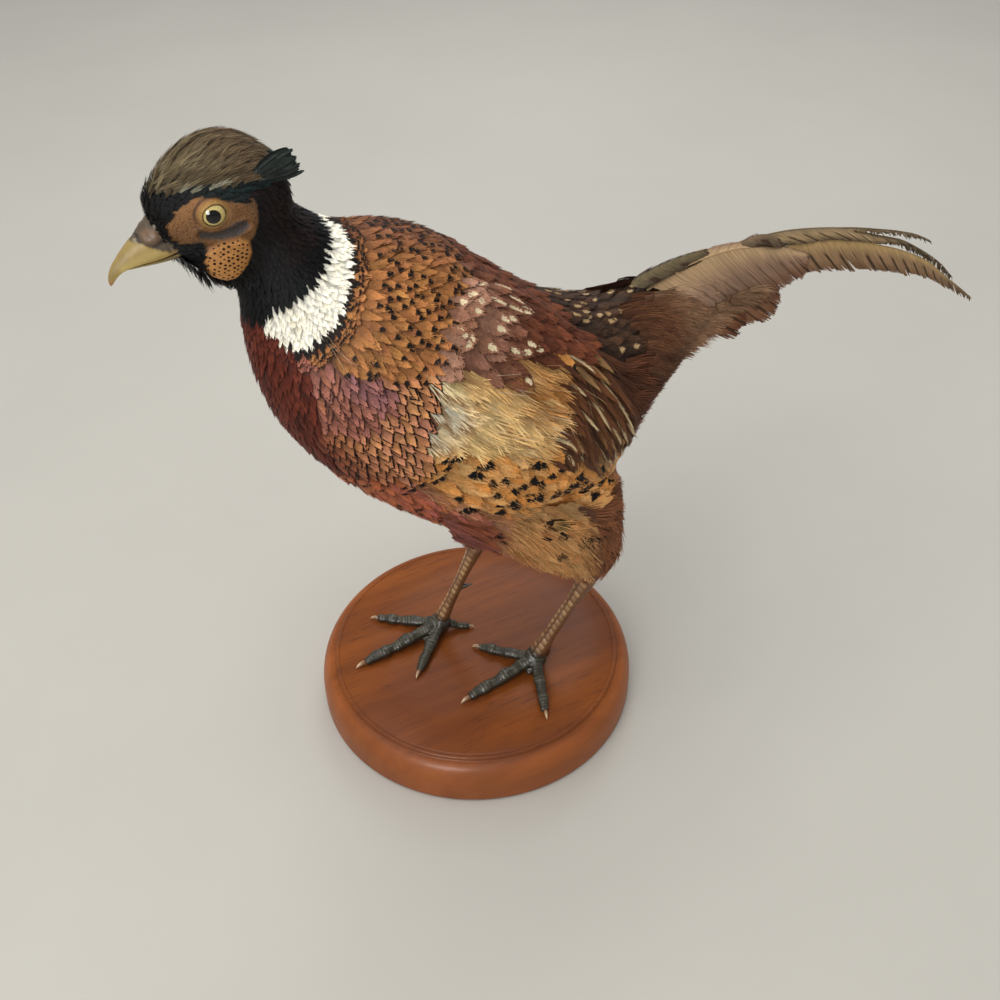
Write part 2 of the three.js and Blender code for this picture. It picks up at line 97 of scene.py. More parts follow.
def ramp(value, low, high):
    """0 below low, 1 above high, smooth between."""
    share = np.clip((value - low) / (high - low), 0, 1)
    return share * share * (3 - 2 * share)


def blend(a, b, share):
    share = np.asarray(share, float)
    return np.asarray(a, float) * (1 - share[..., None]) + np.asarray(b, float) * share[..., None]


def colour(red, green, blue):
    """A screen colour of 0 to 255 as the linear light that the shaders use."""
    share = np.array([red, green, blue]) / 255
    return np.where(share <= 0.04045, share / 12.92, ((share + 0.055) / 1.055) ** 2.4)


def smooth_rows(rows, steps):
    """Catmull-Rom through rows of numbers, `steps` samples to each span."""
    rows = np.asarray(rows, float)
    ends = np.concatenate([rows[:1], rows, rows[-1:]])
    samples = []
    for i in range(len(rows) - 1):
        before, start, end, after = ends[i:i + 4]
        for t in np.arange(steps) / steps:
            slope_in = (end - before) / 2
            slope_out = (after - start) / 2
            bend = 3 * (end - start) - 2 * slope_in - slope_out
            twist = 2 * (start - end) + slope_in + slope_out
            samples.append(start + slope_in * t + bend * t * t + twist * t ** 3)
    samples.append(rows[-1])
    return np.array(samples)


def inside(points, outline):
    """How far each 2-D point lies inside a closed outline; negative outside."""
    outline = np.asarray(outline, float)
    reach = np.full(len(points), 1e9)
    crossings = np.zeros(len(points), int)
    x, y = points[:, 0], points[:, 1]
    for a, b in zip(outline, np.roll(outline, -1, axis=0)):
        side = b - a
        along = np.clip(((points - a) @ side) / (side @ side), 0, 1)
        reach = np.minimum(reach, np.linalg.norm(points - a - along[:, None] * side, axis=1))
        spans = (a[1] > y) != (b[1] > y)
        rise = b[1] - a[1] if b[1] != a[1] else 1e-9
        crossings += spans & (x < a[0] + (y - a[1]) * side[0] / rise)
    return np.where(crossings % 2 == 1, reach, -reach)


def grid_faces(rows, columns, closed=False):
    """Quads of a grid of points stored row by row."""
    across = columns if closed else columns - 1
    r, c = np.meshgrid(np.arange(rows - 1), np.arange(across), indexing="ij")
    r, c = r.ravel(), c.ravel()
    after = (c + 1) % columns
    return np.stack([r * columns + c, r * columns + after, (r + 1) * columns + after, (r + 1) * columns + c], 1)


def repeat_faces(faces, copies, points_each):
    starts = np.arange(copies)[:, None, None] * points_each
    return (faces[None] + starts).reshape(-1, faces.shape[1])


def new_piece(name, points, faces, material, marks=None, uv=None, flat=False):
    """A mesh object from arrays in millimetres, riding on the root body."""
    mesh = bpy.data.meshes.new(name)
    faces = np.asarray(faces, np.int32)
    real = np.ones(faces.shape, bool)
    if faces.shape[1] == 4:
        real[:, 3] = faces[:, 2] != faces[:, 3]     # a triangle repeats its last corner
    corners = faces[real]
    starts = np.concatenate([[0], np.cumsum(real.sum(axis=1))[:-1]])
    mesh.vertices.add(len(points))
    mesh.vertices.foreach_set("co", (np.asarray(points) * MM).astype(np.float32).ravel())
    mesh.loops.add(len(corners))
    mesh.loops.foreach_set("vertex_index", corners)
    mesh.polygons.add(len(faces))
    mesh.polygons.foreach_set("loop_start", starts.astype(np.int32))
    mesh.update(calc_edges=True)
    mesh.validate()
    mesh.polygons.foreach_set("use_smooth", np.full(len(mesh.polygons), not flat))
    for key, values in (marks or {}).items():
        attribute = mesh.attributes.new(key, "FLOAT_VECTOR", "POINT")
        attribute.data.foreach_set("vector", np.asarray(values, np.float32).ravel())
    if uv is not None:
        layer = mesh.uv_layers.new(name="OFBake")
        vertex = np.empty(len(mesh.loops), np.int32)
        mesh.loops.foreach_get("vertex_index", vertex)
        layer.data.foreach_set("uv", np.asarray(uv, np.float32)[vertex].ravel())
    mesh.materials.append(material)
    piece = bpy.data.objects.new(name, mesh)
    bpy.context.scene.collection.objects.link(piece)
    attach(piece, "root")
    return piece


# ---------------------------------------------------------------- the body's and the head's own frames

SECTION_STEPS = 12
section_rows = smooth_rows(list(BODY_SECTIONS.values()), SECTION_STEPS)
dorsal_line = np.stack([section_rows[:, 5], section_rows[:, 0], section_rows[:, 1]], 1)
ventral_line = np.stack([section_rows[:, 5], section_rows[:, 2], section_rows[:, 3]], 1)
spine = ventral_line + (dorsal_line - ventral_line) * BELLY_SHARE
spine_up = unit(dorsal_line - ventral_line)
spine_facing = np.cross([1.0, 0, 0], spine_up)
spine_run = unit(np.gradient(spine, axis=0))
dorsal_run = unit(np.gradient(dorsal_line, axis=0))
ventral_run = unit(np.gradient(ventral_line, axis=0))
spine_length = np.concatenate([[0], np.cumsum(np.linalg.norm(np.diff(spine, axis=0), axis=1))])


def body_place(points):
    """For points near the body: the nearest section, the distance along the spine, how far round
    from the back (0) to the belly (100), and the side (-1 or 1)."""
    station = np.empty(len(points), int)
    chunk = 8000
    for start in range(0, len(points), chunk):
        away = points[start:start + chunk, None] - spine[None]
        ahead = np.abs(dot(away, spine_facing[None]))
        station[start:start + chunk] = np.argmin(ahead + 0.03 * np.linalg.norm(away, axis=2), axis=1)
    away = points - spine[station]
    across = away[:, 0]
    along = spine_length[station] + dot(away, spine_run[station]) * 0.5
    round_ = np.arctan2(np.abs(across), dot(away, spine_up[station])) / math.pi * 100
    return station, along, round_, np.where(across < 0, -1, 1)


facing = np.array([-math.sin(HEAD_YAW), -math.cos(HEAD_YAW), 0])
head_left = np.array([math.cos(HEAD_YAW), -math.sin(HEAD_YAW), 0])
head_back = -facing * math.cos(HEAD_PITCH) + np.array([0, 0, math.sin(HEAD_PITCH)])
head_up = np.cross(head_left, head_back)
head_axes = np.stack([head_left, head_back, head_up])


def to_head(points):
    """Points as left, back, up in the head's frame."""
    return (points - HEAD_ORIGIN) @ head_axes.T


def from_head(places):
    return np.asarray(places, float) @ head_axes + HEAD_ORIGIN


# ---------------------------------------------------------------- materials


class Paint:
    """A node material, written as short calls."""

    def __init__(self, name, roughness=0.6, **settings):
        self.material = bpy.data.materials.new(name)
        self.material.use_nodes = True
        self.nodes = self.material.node_tree.nodes
        self.links = self.material.node_tree.links
        self.shader = self.nodes["Principled BSDF"]
        self.shader.inputs["Roughness"].default_value = roughness
        for key, value in settings.items():
            self.shader.inputs[key.replace("_", " ")].default_value = value

    def feed(self, socket, value):
        if isinstance(value, bpy.types.NodeSocket):
            self.links.new(value, socket)
        elif socket.type == "RGBA":
            socket.default_value = (*value, 1)
        else:
            socket.default_value = value

    def node(self, kind, out=0, settings=None, **inputs):
        made = self.nodes.new(kind)
        for key, value in (settings or {}).items():
            setattr(made, key, value)
        for key, value in inputs.items():
            self.feed(made.inputs[key.replace("_", " ")], value)
        return made.outputs[out]

    def math(self, operation, *values, clamp=False):
        made = self.nodes.new("ShaderNodeMath")
        made.operation = operation
        made.use_clamp = clamp
        for socket, value in zip(made.inputs, values):
            self.feed(socket, value)
        return made.outputs[0]

    def step(self, value, low, high):
        """Smooth 0 to 1 as value goes from low to high."""
        made = self.nodes.new("ShaderNodeMapRange")
        made.interpolation_type = "SMOOTHSTEP"
        for key, given in (("Value", value), ("From Min", low), ("From Max", high)):
            self.feed(made.inputs[key], given)
        return made.outputs[0]

    def mix(self, share, a, b, blend_type="MIX"):
        made = self.nodes.new("ShaderNodeMix")
        made.data_type = "RGBA"
        made.blend_type = blend_type
        self.feed(made.inputs[0], share)
        self.feed(made.inputs[6], a)
        self.feed(made.inputs[7], b)
        return made.outputs[2]

    def mark(self, name):
        return self.node("ShaderNodeAttribute", 1, {"attribute_name": name})

    def split(self, vector):
        made = self.nodes.new("ShaderNodeSeparateXYZ")
        self.feed(made.inputs[0], vector)
        return made.outputs

    def join(self, x, y, z):
        return self.node("ShaderNodeCombineXYZ", X=x, Y=y, Z=z)

    def noise(self, vector, scale, detail=3.0, roughness=0.55):
        return self.node("ShaderNodeTexNoise", Vector=vector, Scale=scale, Detail=detail, Roughness=roughness)

    def place(self):
        return self.node("ShaderNodeTexCoord", 3)

    def finish(self, base, bump=None, strength=0.3, distance=0.0004):
        self.links.new(base, self.shader.inputs["Base Color"])
        if bump is not None:
            normal = self.node("ShaderNodeBump", Strength=strength, Distance=distance, Height=bump)
            self.links.new(normal, self.shader.inputs["Normal"])
        return self.material


def feather_paint(name, roughness, sheen, barbs=26.0, contrast=0.3):
    """Vane marks: `tint` with `dark` fringe, and a `spot` or bars in the `mark` colour.
    vane = across, along, own number; spot = place along, half length, half width;
    trim = fringe width, bar count, shaft streak width."""
    p = Paint(name, roughness, Specular_IOR_Level=0.1, Sheen_Weight=sheen, Sheen_Roughness=0.4)
    across, along, own = p.split(p.mark("vane"))
    wide = p.math("ABSOLUTE", across)
    lie = p.math("SUBTRACT", p.math("MULTIPLY", along, barbs), p.math("MULTIPLY", wide, barbs * 0.22))
    grain = p.noise(p.join(lie, p.math("MULTIPLY", own, 37.0), p.math("MULTIPLY", across, 0.8)), 1.6, 2.0)
    cloud = p.noise(p.join(across, p.math("MULTIPLY", along, 2.0), p.math("MULTIPLY", own, 91.0)), 1.7, 2.0)
    wobble = p.math("MULTIPLY", p.math("SUBTRACT", grain, 0.5), 0.9)
    at, half_long, half_wide = p.split(p.mark("spot"))
    far_along = p.math("DIVIDE", p.math("SUBTRACT", along, at), p.math("MAXIMUM", half_long, 0.001))
    far_across = p.math("DIVIDE", wide, p.math("MAXIMUM", half_wide, 0.001))
    far_across = p.math("MULTIPLY", far_across, p.math("ADD", 1.0, p.math("MULTIPLY", far_along, 0.35)))
    away = p.math("ADD", p.math("MULTIPLY", far_along, far_along), p.math("MULTIPLY", far_across, far_across))
    spot = p.step(p.math("ADD", away, wobble), 1.15, 0.8)
    fringe, bars, streak = p.split(p.mark("trim"))
    phase = p.math("SUBTRACT", p.math("MULTIPLY", along, bars), p.math("MULTIPLY", wide, 0.9))
    wave = p.math("SINE", p.math("MULTIPLY", p.math("ADD", phase, p.math("MULTIPLY", wobble, 0.25)), 6.283))
    barred = p.math("MULTIPLY", p.step(wave, 0.35, 0.8), p.step(bars, 0.1, 0.5))
    shaft = p.math("MULTIPLY", p.step(p.math("SUBTRACT", streak, wide), -0.05, 0.05), p.step(streak, 0.0, 0.03))
    marked = p.math("MAXIMUM", p.math("MAXIMUM", spot, barred), shaft)
    narrowing = p.math("POWER", p.math("MINIMUM", p.math("DIVIDE", p.math("SUBTRACT", 1.0, along), 0.6), 1.0), 0.7)
    inward = p.math("MULTIPLY", p.math("SUBTRACT", 1.0, wide), narrowing)
    inward = p.math("ADD", inward, p.math("MULTIPLY", wobble, 0.1))
    edge = p.math("MULTIPLY", p.step(inward, fringe, p.math("MULTIPLY", fringe, 0.6)), p.step(along, 0.2, 0.5))
    edge = p.math("MULTIPLY", edge, p.step(fringe, 0.0, 0.03))
    base = p.mix(marked, p.mark("tint"), p.mark("ink"))
    base = p.mix(edge, base, p.mark("dark"))
    shade = p.math("MULTIPLY", p.math("ADD", 1 - contrast, p.math("MULTIPLY", grain, 2 * contrast)),
                   p.math("ADD", 0.48, p.math("MULTIPLY", cloud, 1.04)))
    # Painted shade: each vane is painted darker towards its root, where the feathers over it would shade it.
    shade = p.math("MULTIPLY", shade, p.math("ADD", 0.58, p.math("MULTIPLY", p.step(along, 0.3, 0.88), 0.48)))
    base = p.mix(1.0, base, p.join(shade, shade, shade), "MULTIPLY")
    return p.finish(base, grain, 0.35, 0.0005)


def skin_paint():
    """The skin under the coat and the bare face: its colours, with painted shade under the coat, are in `tint`."""
    p = Paint("skin", 0.62, Specular_IOR_Level=0.18, Subsurface_Weight=0.0)
    where = p.place()
    pores = p.node("ShaderNodeTexVoronoi", 0, {"feature": "F1"}, Vector=where, Scale=1100.0)
    cloud = p.noise(where, 260.0, 4.0, 0.6)
    shade = p.math("ADD", 0.62, p.math("ADD", p.math("MULTIPLY", cloud, 0.5), p.math("MULTIPLY", pores, 0.28)))
    base = p.mix(1.0, p.mark("tint"), p.join(shade, shade, shade), "MULTIPLY")
    return p.finish(base, p.math("ADD", pores, cloud), 0.6, 0.0004)


def plain_paint(name, roughness, scale, depth, bump=0.3, stretch=(1, 1, 1), **settings):
    """Horn, scale and glass: the piece's own `tint` with fine mottling."""
    p = Paint(name, roughness, **settings)
    where = p.node("ShaderNodeVectorMath", 0, {"operation": "MULTIPLY"})
    made = where.node
    p.links.new(p.place(), made.inputs[0])
    made.inputs[1].default_value = stretch
    cloud = p.noise(where, scale, 5.0, 0.6)
    shade = p.math("ADD", 1 - depth, p.math("MULTIPLY", cloud, 2 * depth))
    base = p.mix(1.0, p.mark("tint"), p.join(shade, shade, shade), "MULTIPLY")
    return p.finish(base, cloud, bump, 0.0003)


def wood_paint():
    """Stained, varnished mahogany with its grain running across the base, and a painted sheen on its turned side."""
    p = Paint("wood", 0.46, Specular_IOR_Level=0.14, Coat_Weight=0.1, Coat_Roughness=0.22)
    turned = p.node("ShaderNodeMapping", Vector=p.place(), Rotation=(0.02, 0.04, math.radians(-85)))
    x, y, z = p.split(turned)
    lengthwise = p.join(p.math("MULTIPLY", x, 7.0), p.math("MULTIPLY", y, 95.0), p.math("MULTIPLY", z, 70.0))
    fine = p.join(p.math("MULTIPLY", x, 55.0), p.math("MULTIPLY", y, 900.0), p.math("MULTIPLY", z, 700.0))
    pores = p.noise(fine, 1.0, 3.0)
    figure = p.noise(lengthwise, 0.5, 5.0, 0.6)
    stain = p.noise(p.place(), 11.0, 4.0, 0.6)
    base = p.mix(p.step(figure, 0.3, 0.72), colour(112, 58, 22), colour(144, 78, 28))
    base = p.mix(p.math("MULTIPLY", p.step(pores, 0.54, 0.7), 0.55), base, colour(74, 38, 24))
    base = p.mix(p.math("MULTIPLY", p.step(stain, 0.42, 0.7), 0.5), base, colour(104, 56, 36))
    # Painted sheen: below the top the turned side is painted a lighter orange, more so along the figure.
    height = p.split(p.place())[2]
    base = p.mix(p.math("MULTIPLY", p.step(height, 0.0285, 0.026), p.math("MULTIPLY", figure, 0.95)), base, colour(172, 99, 54))
    return p.finish(base, pores, 0.12, 0.0002)


# ---------------------------------------------------------------- the skin: one closed surface

FLESH_NODES = ("head", "neck", "collar", "trunk", "rump", "wing_L", "wing_R", "thigh_L", "thigh_R", "wattle_L", "wattle_R")
SOCKET_FILLS = ("eye_L", "eye_R")
SWELL = 0.5            # each node grows by this before they melt together
VOXEL = 1.9

FACE_OUTLINE = ((-12.6, 8.1), (-5, 9.6), (3, 6.4), (7.6, 1.2), (10.6, -0.4), (16.3, -1.6), (16.3, -6), (13, -12.6),
                (9, -17), (6.2, -19), (5, -24), (0.5, -29), (-6, -33), (-12.5, -32.5), (-16, -27), (-15.5, -19),
                (-13.2, -13), (-14, -10), (-18.6, -6), (-20.8, -2.8), (-19.5, 3))
WATTLE_OUTLINE = ((-12.5, -12.6), (-15.2, -19), (-15.7, -27), (-12, -32), (-6, -32.5), (0.3, -28.6), (4.7, -23.5),
                  (6, -18), (3.8, -14.4), (-4, -12))
GROOVE_LINE = ((-8.4, -5.6), (-6, -8), (-1, -9.6), (4, -10.9), (8.4, -10.4))
GROOVE_HALF = 1.7
CRESCENT_OUTLINE = ((-8.6, -4.4), (-9.2, -6.6), (-6.6, -8.6), (-2.5, -10.9), (4, -12.9), (8.9, -11.6), (9.4, -8.9),
                    (5.5, -7.4), (2, -8.4), (-2.2, -8.2), (-6, -6.6))
LID_HALF = (4.7, 4.2)          # half width and half height of the opened lids


def polyline_distance(points, line):
    line = np.asarray(line, float)
    reach = np.full(len(points), 1e9)
    for a, b in zip(line[:-1], line[1:]):
        side = b - a
        along = np.clip(((points - a) @ side) / (side @ side), 0, 1)
        reach = np.minimum(reach, np.linalg.norm(points - a - along[:, None] * side, axis=1))
    return reach


def face_bareness(points):
    """1 on the bare skin of the face, 0 where feathers grow."""
    place = to_head(points)
    bare = ramp(inside(place[:, 1:], FACE_OUTLINE), -0.8, 0.8)
    return bare * ramp(np.abs(place[:, 0]), 4, 7) * (place[:, 1] < 30) * (np.abs(place[:, 2]) < 45)


def coat_depth(points):
    """How far the skin lies inside the coat's outline."""
    place = to_head(points)
    _, along, round_, _ = body_place(points)
    depth = 1.2 + 1.1 * ramp(along, 20, 70) + 0.6 * ramp(along, 150, 260)
    leg = ramp(-points[:, 2], -135, -112)
    depth = depth * (1 - leg) + 1.1 * leg
    near_head = (place[:, 1] < 36) & (np.abs(place[:, 2]) < 50) & (points[:, 2] > 320)
    bare = face_bareness(points)
    return np.where(near_head, np.minimum(depth, 1.1) * (1 - bare) + 0.1 * bare, depth)


def vertex_normals(points, faces):
    normals = np.zeros_like(points)
    a, b, c, d = (points[faces[:, k]] for k in range(4))
    face_normal = np.cross(c - a, d - b)
    for k in range(4):
        for axis in range(3):
            normals[:, axis] += np.bincount(faces[:, k], face_normal[:, axis], len(points))
    return unit(normals)


def smooth_points(points, edges, rounds, share):
    """Moves each point towards the middle of its neighbours."""
    count = np.bincount(edges.ravel(), minlength=len(points))[:, None]
    for _ in range(rounds):
        total = np.stack([
            np.bincount(edges[:, 0], points[edges[:, 1], axis], len(points))
            + np.bincount(edges[:, 1], points[edges[:, 0], axis], len(points)) for axis in range(3)], 1)
        points = points + share[:, None] * (total / np.maximum(count, 1) - points)
    return points


def melted_nodes():
    """The flesh nodes as one voxel surface."""
    joined = bmesh.new()
    for name in FLESH_NODES + SOCKET_FILLS:
        part = bmesh.new()
        part.from_mesh(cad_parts[name].data)
        bmesh.ops.remove_doubles(part, verts=part.verts, dist=2e-6)
        bmesh.ops.recalc_face_normals(part, faces=part.faces)
        part.normal_update()
        for vertex in part.verts:
            vertex.co += vertex.normal * SWELL * MM
        scratch = bpy.data.meshes.new("scratch")
        part.to_mesh(scratch)
        joined.from_mesh(scratch)
        part.free()
        bpy.data.meshes.remove(scratch)
    mesh = bpy.data.meshes.new("melt")
    joined.to_mesh(mesh)
    joined.free()
    melt = bpy.data.objects.new("melt", mesh)
    bpy.context.scene.collection.objects.link(melt)
    remesh = melt.modifiers.new("remesh", "REMESH")
    remesh.mode = "VOXEL"
    remesh.voxel_size = VOXEL * MM
    evaluated = melt.evaluated_get(bpy.context.evaluated_depsgraph_get())
    result = bpy.data.meshes.new_from_object(evaluated)
    bpy.data.objects.remove(melt)
    bpy.data.meshes.remove(mesh)
    return result


def mesh_arrays(mesh):
    points = np.empty(len(mesh.vertices) * 3, np.float32)
    mesh.vertices.foreach_get("co", points)
    edges = np.empty(len(mesh.edges) * 2, np.int32)
    mesh.edges.foreach_get("vertices", edges)
    return points.reshape(-1, 3).astype(float) / MM, edges.reshape(-1, 2)


def largest_shell(points, edges, faces):
    """Only the biggest connected surface."""
    label = np.arange(len(points))
    while True:
        low = np.minimum(label[edges[:, 0]], label[edges[:, 1]])
        fresh = label.copy()
        np.minimum.at(fresh, edges[:, 0], low)
        np.minimum.at(fresh, edges[:, 1], low)
        fresh = fresh[fresh]
        if np.array_equal(fresh, label):
            break
        label = fresh
    keep = label == np.bincount(label).argmax()
    number = np.cumsum(keep) - 1
    return points[keep], number[edges[keep[edges[:, 0]]]], number[faces[keep[faces[:, 0]]]]


def shape_face(points):
    """Eyelids, the groove under the eye and the folds of the bare face."""
    place = to_head(points)
    side = np.where(place[:, 0] < 0, -1.0, 1.0)
    local = place * np.stack([side, np.ones_like(side), np.ones_like(side)], 1)
    flat = local[:, 1:]
    near = (np.abs(local[:, 1]) < 24) & (np.abs(local[:, 2] + 10) < 30) & (local[:, 0] > 6)
    from_eye = local - EYE_CENTRE
    opening = np.hypot(from_eye[:, 1] / LID_HALF[0], from_eye[:, 2] / LID_HALF[1])
    outward = unit(from_eye * [1, 1, 1] + [[1e-6, 0, 0]])
    hidden = EYE_CENTRE + outward * (EYE_RADIUS - 1.6)
    rim = 0.45 + 0.4 * ramp(opening, 1.0, 1.15) - 0.5 * ramp(opening, 1.2, 1.5)
    lid_direction = np.stack([
        np.sqrt(np.clip((EYE_RADIUS + rim) ** 2 - from_eye[:, 1] ** 2 - from_eye[:, 2] ** 2, 0.5, None)),
        from_eye[:, 1], from_eye[:, 2]], 1)
    lids = EYE_CENTRE + lid_direction
    shaped = blend(local, lids, ramp(opening, 1.5, 1.15))
    shaped = blend(shaped, hidden, ramp(opening, 1.02, 0.94))
    groove = polyline_distance(flat, GROOVE_LINE)
    sunk = -1.1 * np.exp(-(groove / GROOVE_HALF) ** 4) + 0.5 * np.exp(-((groove - 2.8) / 0.9) ** 2)
    wattle = inside(flat, WATTLE_OUTLINE)
    puff = 1.1 * ramp(wattle, -0.5, 3) - 0.5 * np.exp(-((wattle + 1.0) / 0.9) ** 2)
    strength = ramp(opening, 1.5, 2.1) * ramp(local[:, 0], 6, 9)
    shaped[:, 0] += (sunk * ramp(opening, 1.15, 1.5) + puff * strength)
    shaped = np.where(near[:, None], shaped, local)
    shaped[:, 0] *= side
    return from_head(shaped)


def refine_face(mesh, rounds=2):
    """Subdivides the skin of the face for its folds."""
    fine = bmesh.new()
    fine.from_mesh(mesh)
    for _ in range(rounds):
        centres = np.array([face.calc_center_median() for face in fine.faces]) / MM
        place = to_head(centres)
        wanted = (inside(place[:, 1:], FACE_OUTLINE) > -3.5) & (np.abs(place[:, 0]) > 5)
        fine.faces.ensure_lookup_table()
        edges = {edge for index in np.flatnonzero(wanted) for edge in fine.faces[index].edges}
        bmesh.ops.subdivide_edges(fine, edges=list(edges), cuts=1, use_grid_fill=True)
    odd = [face for face in fine.faces if len(face.verts) != 4]
    bmesh.ops.triangulate(fine, faces=odd)
    result = bpy.data.meshes.new("fine")
    fine.to_mesh(result)
    fine.free()
    return result


def face_array(mesh):
    """Faces as rows of four corners; a triangle repeats its last."""
    rows = [tuple(face.vertices) for face in mesh.polygons]
    return np.array([row if len(row) == 4 else (*row, row[-1]) for row in rows], np.int64)


def make_skin_shape():
    melted = melted_nodes()
    points, edges = mesh_arrays(melted)
    points, edges, faces = largest_shell(points, edges, face_array(melted))
    head = to_head(points)
    in_head = (head[:, 1] < 34) & (points[:, 2] > 330)
    points = smooth_points(points, edges, 10, np.where(in_head, 0.12, 0.5))
    normals = vertex_normals(points, faces)
    points = points - normals * (coat_depth(points) + SWELL)[:, None]
    brow = 2.2 * np.exp(-((head[:, 1] + 18.5) / 5.5) ** 2 - ((head[:, 2] - 11) / 5.5) ** 2)
    points = points + brow[:, None] * (head_up * 0.6 - head_back * 0.8)
    points = smooth_points(points, edges, 2, np.where(in_head, 0.2, 0.4))
    coarse = bpy.data.meshes.new("coarse")
    coarse.from_pydata((points * MM).tolist(), [], faces.tolist())
    fine = refine_face(coarse)
    points, edges = mesh_arrays(fine)
    faces = face_array(fine)
    head = to_head(points)
    soft = ramp(inside(head[:, 1:], FACE_OUTLINE), -5, -2) * (np.abs(head[:, 0]) > 5)
    points = smooth_points(points, edges, 4, soft * 0.5)
    points = shape_face(points)
    points = smooth_points(points, edges, 1, soft * 0.25)
    return points, faces, vertex_normals(points, faces)


skin_points, skin_faces, skin_normals = make_skin_shape()
skin_tree = BVHTree.FromPolygons(skin_points.tolist(), [
    tuple(row) if row[2] != row[3] else tuple(row[:3]) for row in skin_faces.tolist()])
face_normals = unit(skin_normals[skin_faces].mean(axis=1))
print("skin", len(skin_points), len(skin_faces))


def on_skin(points):
    """The nearest points of the skin and its smoothed normals there."""
    found = np.empty((len(points), 3))
    index = np.empty(len(points), int)
    for i, point in enumerate(points):
        place, _, face, _ = skin_tree.find_nearest(point)
        found[i] = place
        index[i] = face
    return found, face_normals[index]


# ---------------------------------------------------------------- tracts: what grows where

BLACK = colour(22, 20, 23)
INK = colour(26, 20, 18)

# Outlines in distance along the spine and place round the body (0 back, 100 belly).
COLLAR_INNER = ((28, 29, 32, 35.5, 37.5, 38.5, 39, 42, 45), (-2, 6, 22, 33, 47, 65, 79, 85, 88))      # along, round
COLLAR_OUTER = ((50, 79), (53, 68), (53.5, 60), (53.5, 52), (52.5, 46), (50.5, 39), (49, 32), (46.5, 25), (43, 17),
                (41, 9), (36, 3), (30, -2))
COLLAR_OUTLINE = (*zip(*COLLAR_INNER), *COLLAR_OUTER)
TRACT_OUTLINES = {
    "belly": ((105, 76), (400, 76), (400, 102), (105, 102)),
    "mantle": ((20, -2), (102, -2), (97, 11), (96, 19), (90, 28), (90, 37), (93, 46), (84, 51), (78, 56), (70, 59.5),
               (63, 62), (59, 67), (52, 71), (44, 72)),
    "breast": ((78, 56), (84, 51), (93, 45), (108, 54), (120, 62), (128, 67), (126, 74), (120, 84), (100, 92), (85, 92), (80, 75)),
    "gloss": ((44, 72), (52, 71), (59, 67), (63, 62), (70, 59.5), (78, 56), (86, 56), (92, 62), (93, 69), (84, 80),
              (62, 84), (46, 84)),
    "maroon": ((34, 82), (48, 76), (60, 74), (75, 78), (90, 86), (112, 88), (125, 102), (34, 102)),
    "scapular": ((100, -2), (190, -2), (200, 6), (222, 14), (232, 20), (212, 24), (192, 24.5), (176, 26), (160, 30), (146, 31.5), (132, 38), (122, 40),
                 (111, 41), (93, 46), (89, 37), (89, 28), (95, 19), (96, 11)),
    "back": ((190, -2), (318, -2), (314, 12), (300, 25), (278, 30), (245, 25), (225, 18), (205, 10)),
    "rump": ((318, -2), (420, -2), (420, 102), (262, 102), (244, 60), (246, 45), (240, 30), (232, 20), (250, 25),
             (278, 30), (300, 25), (314, 12)),
    "cream": ((93, 46), (111, 41), (122, 40), (132, 38), (146, 31.5), (160, 30), (176, 27), (184, 34), (188, 47), (165, 52), (149, 56),
              (119, 62), (108, 54)),
    "silver": ((92, 45.5), (104, 42), (112, 46), (118, 52), (124, 60), (118, 62), (108, 55)),
    "quills": ((176, 27), (192, 24.5), (212, 24), (232, 20), (242, 32), (247, 45), (243, 56), (215, 54), (188, 50),
               (184, 34)),
}
TRACT_ORDER = ("flank", "belly", "mantle", "breast", "gloss", "maroon", "scapular", "back", "rump", "cream",
               "silver", "quills", "thigh", "neck", "collar", "band", "cheek", "crown", "brow", "lore", "chin")


CAP_LINE = ((-30, -15, -11, -9, -4.5, 4, 14, 24, 34), (15, 14.8, 14.4, 13.4, 12.6, 10.4, 6.6, 2, 1))    # back, up


def tract_at(points, loose=0.0):
    """The name's number in TRACT_ORDER of what grows at each point; `loose` roughens the borders."""
    _, along, round_, side = body_place(points)
    along = along + dice.normal(0, 1, len(points)) * loose
    round_ = round_ + dice.normal(0, 1, len(points)) * loose * 0.6
    place = np.stack([along, round_], 1)
    tract = np.zeros(len(points), int)
    for name, outline in TRACT_OUTLINES.items():
        tract[inside(place, outline) > 0] = TRACT_ORDER.index(name)
    x = np.abs(points[:, 0] - MIDLINE_X)
    low = points[:, 2] + 0.35 * np.abs(points[:, 1] - 20)
    tract[(low < 190) & (x > 15) & (points[:, 1] > -18) & (points[:, 2] < 171)] = TRACT_ORDER.index("thigh")
    collar = inside(place, COLLAR_OUTLINE)
    inner_edge = np.interp(round_, COLLAR_INNER[1], COLLAR_INNER[0])
    tract[along < inner_edge] = TRACT_ORDER.index("neck")
    tract[(collar < 0) & (collar > -2.2) & (round_ < 76) & (along > inner_edge)] = TRACT_ORDER.index("band")
    tract[(collar > 0)] = TRACT_ORDER.index("collar")
    head = to_head(points)
    left, back, up = np.abs(head[:, 0]), head[:, 1], head[:, 2]
    level = np.interp(back, (-30, -14, -9, 3, 7.7, 16.3, 26, 34), (16, 11, 10.3, 6.4, 1.4, -1.8, -3, -4))
    cap = np.interp(back, *CAP_LINE)
    on_head = (back < 33) & (up > -40) & (points[:, 2] > 335)
    top = on_head & (up > cap + (loose > 0) * dice.normal(0, 0.4, len(points)))
    tract[on_head & (up <= level) & (left > 0)] = TRACT_ORDER.index("cheek")
    tract[on_head & (up > level) & ~top] = TRACT_ORDER.index("brow")
    tract[top] = TRACT_ORDER.index("crown")
    tract[on_head & ~top & (back < -10) & (up > -4)] = TRACT_ORDER.index("lore")
    tract[on_head & (back < -13) & (up < -9) & (back - 0.45 * up > -14)] = TRACT_ORDER.index("cheek")
    tract[on_head & (back < -13) & (up < -13) & (left < 9)] = TRACT_ORDER.index("chin")
    return tract, place, side


def speckle(count, low=0.8, high=1.2):
    return dice.uniform(low, high, (count, 1))


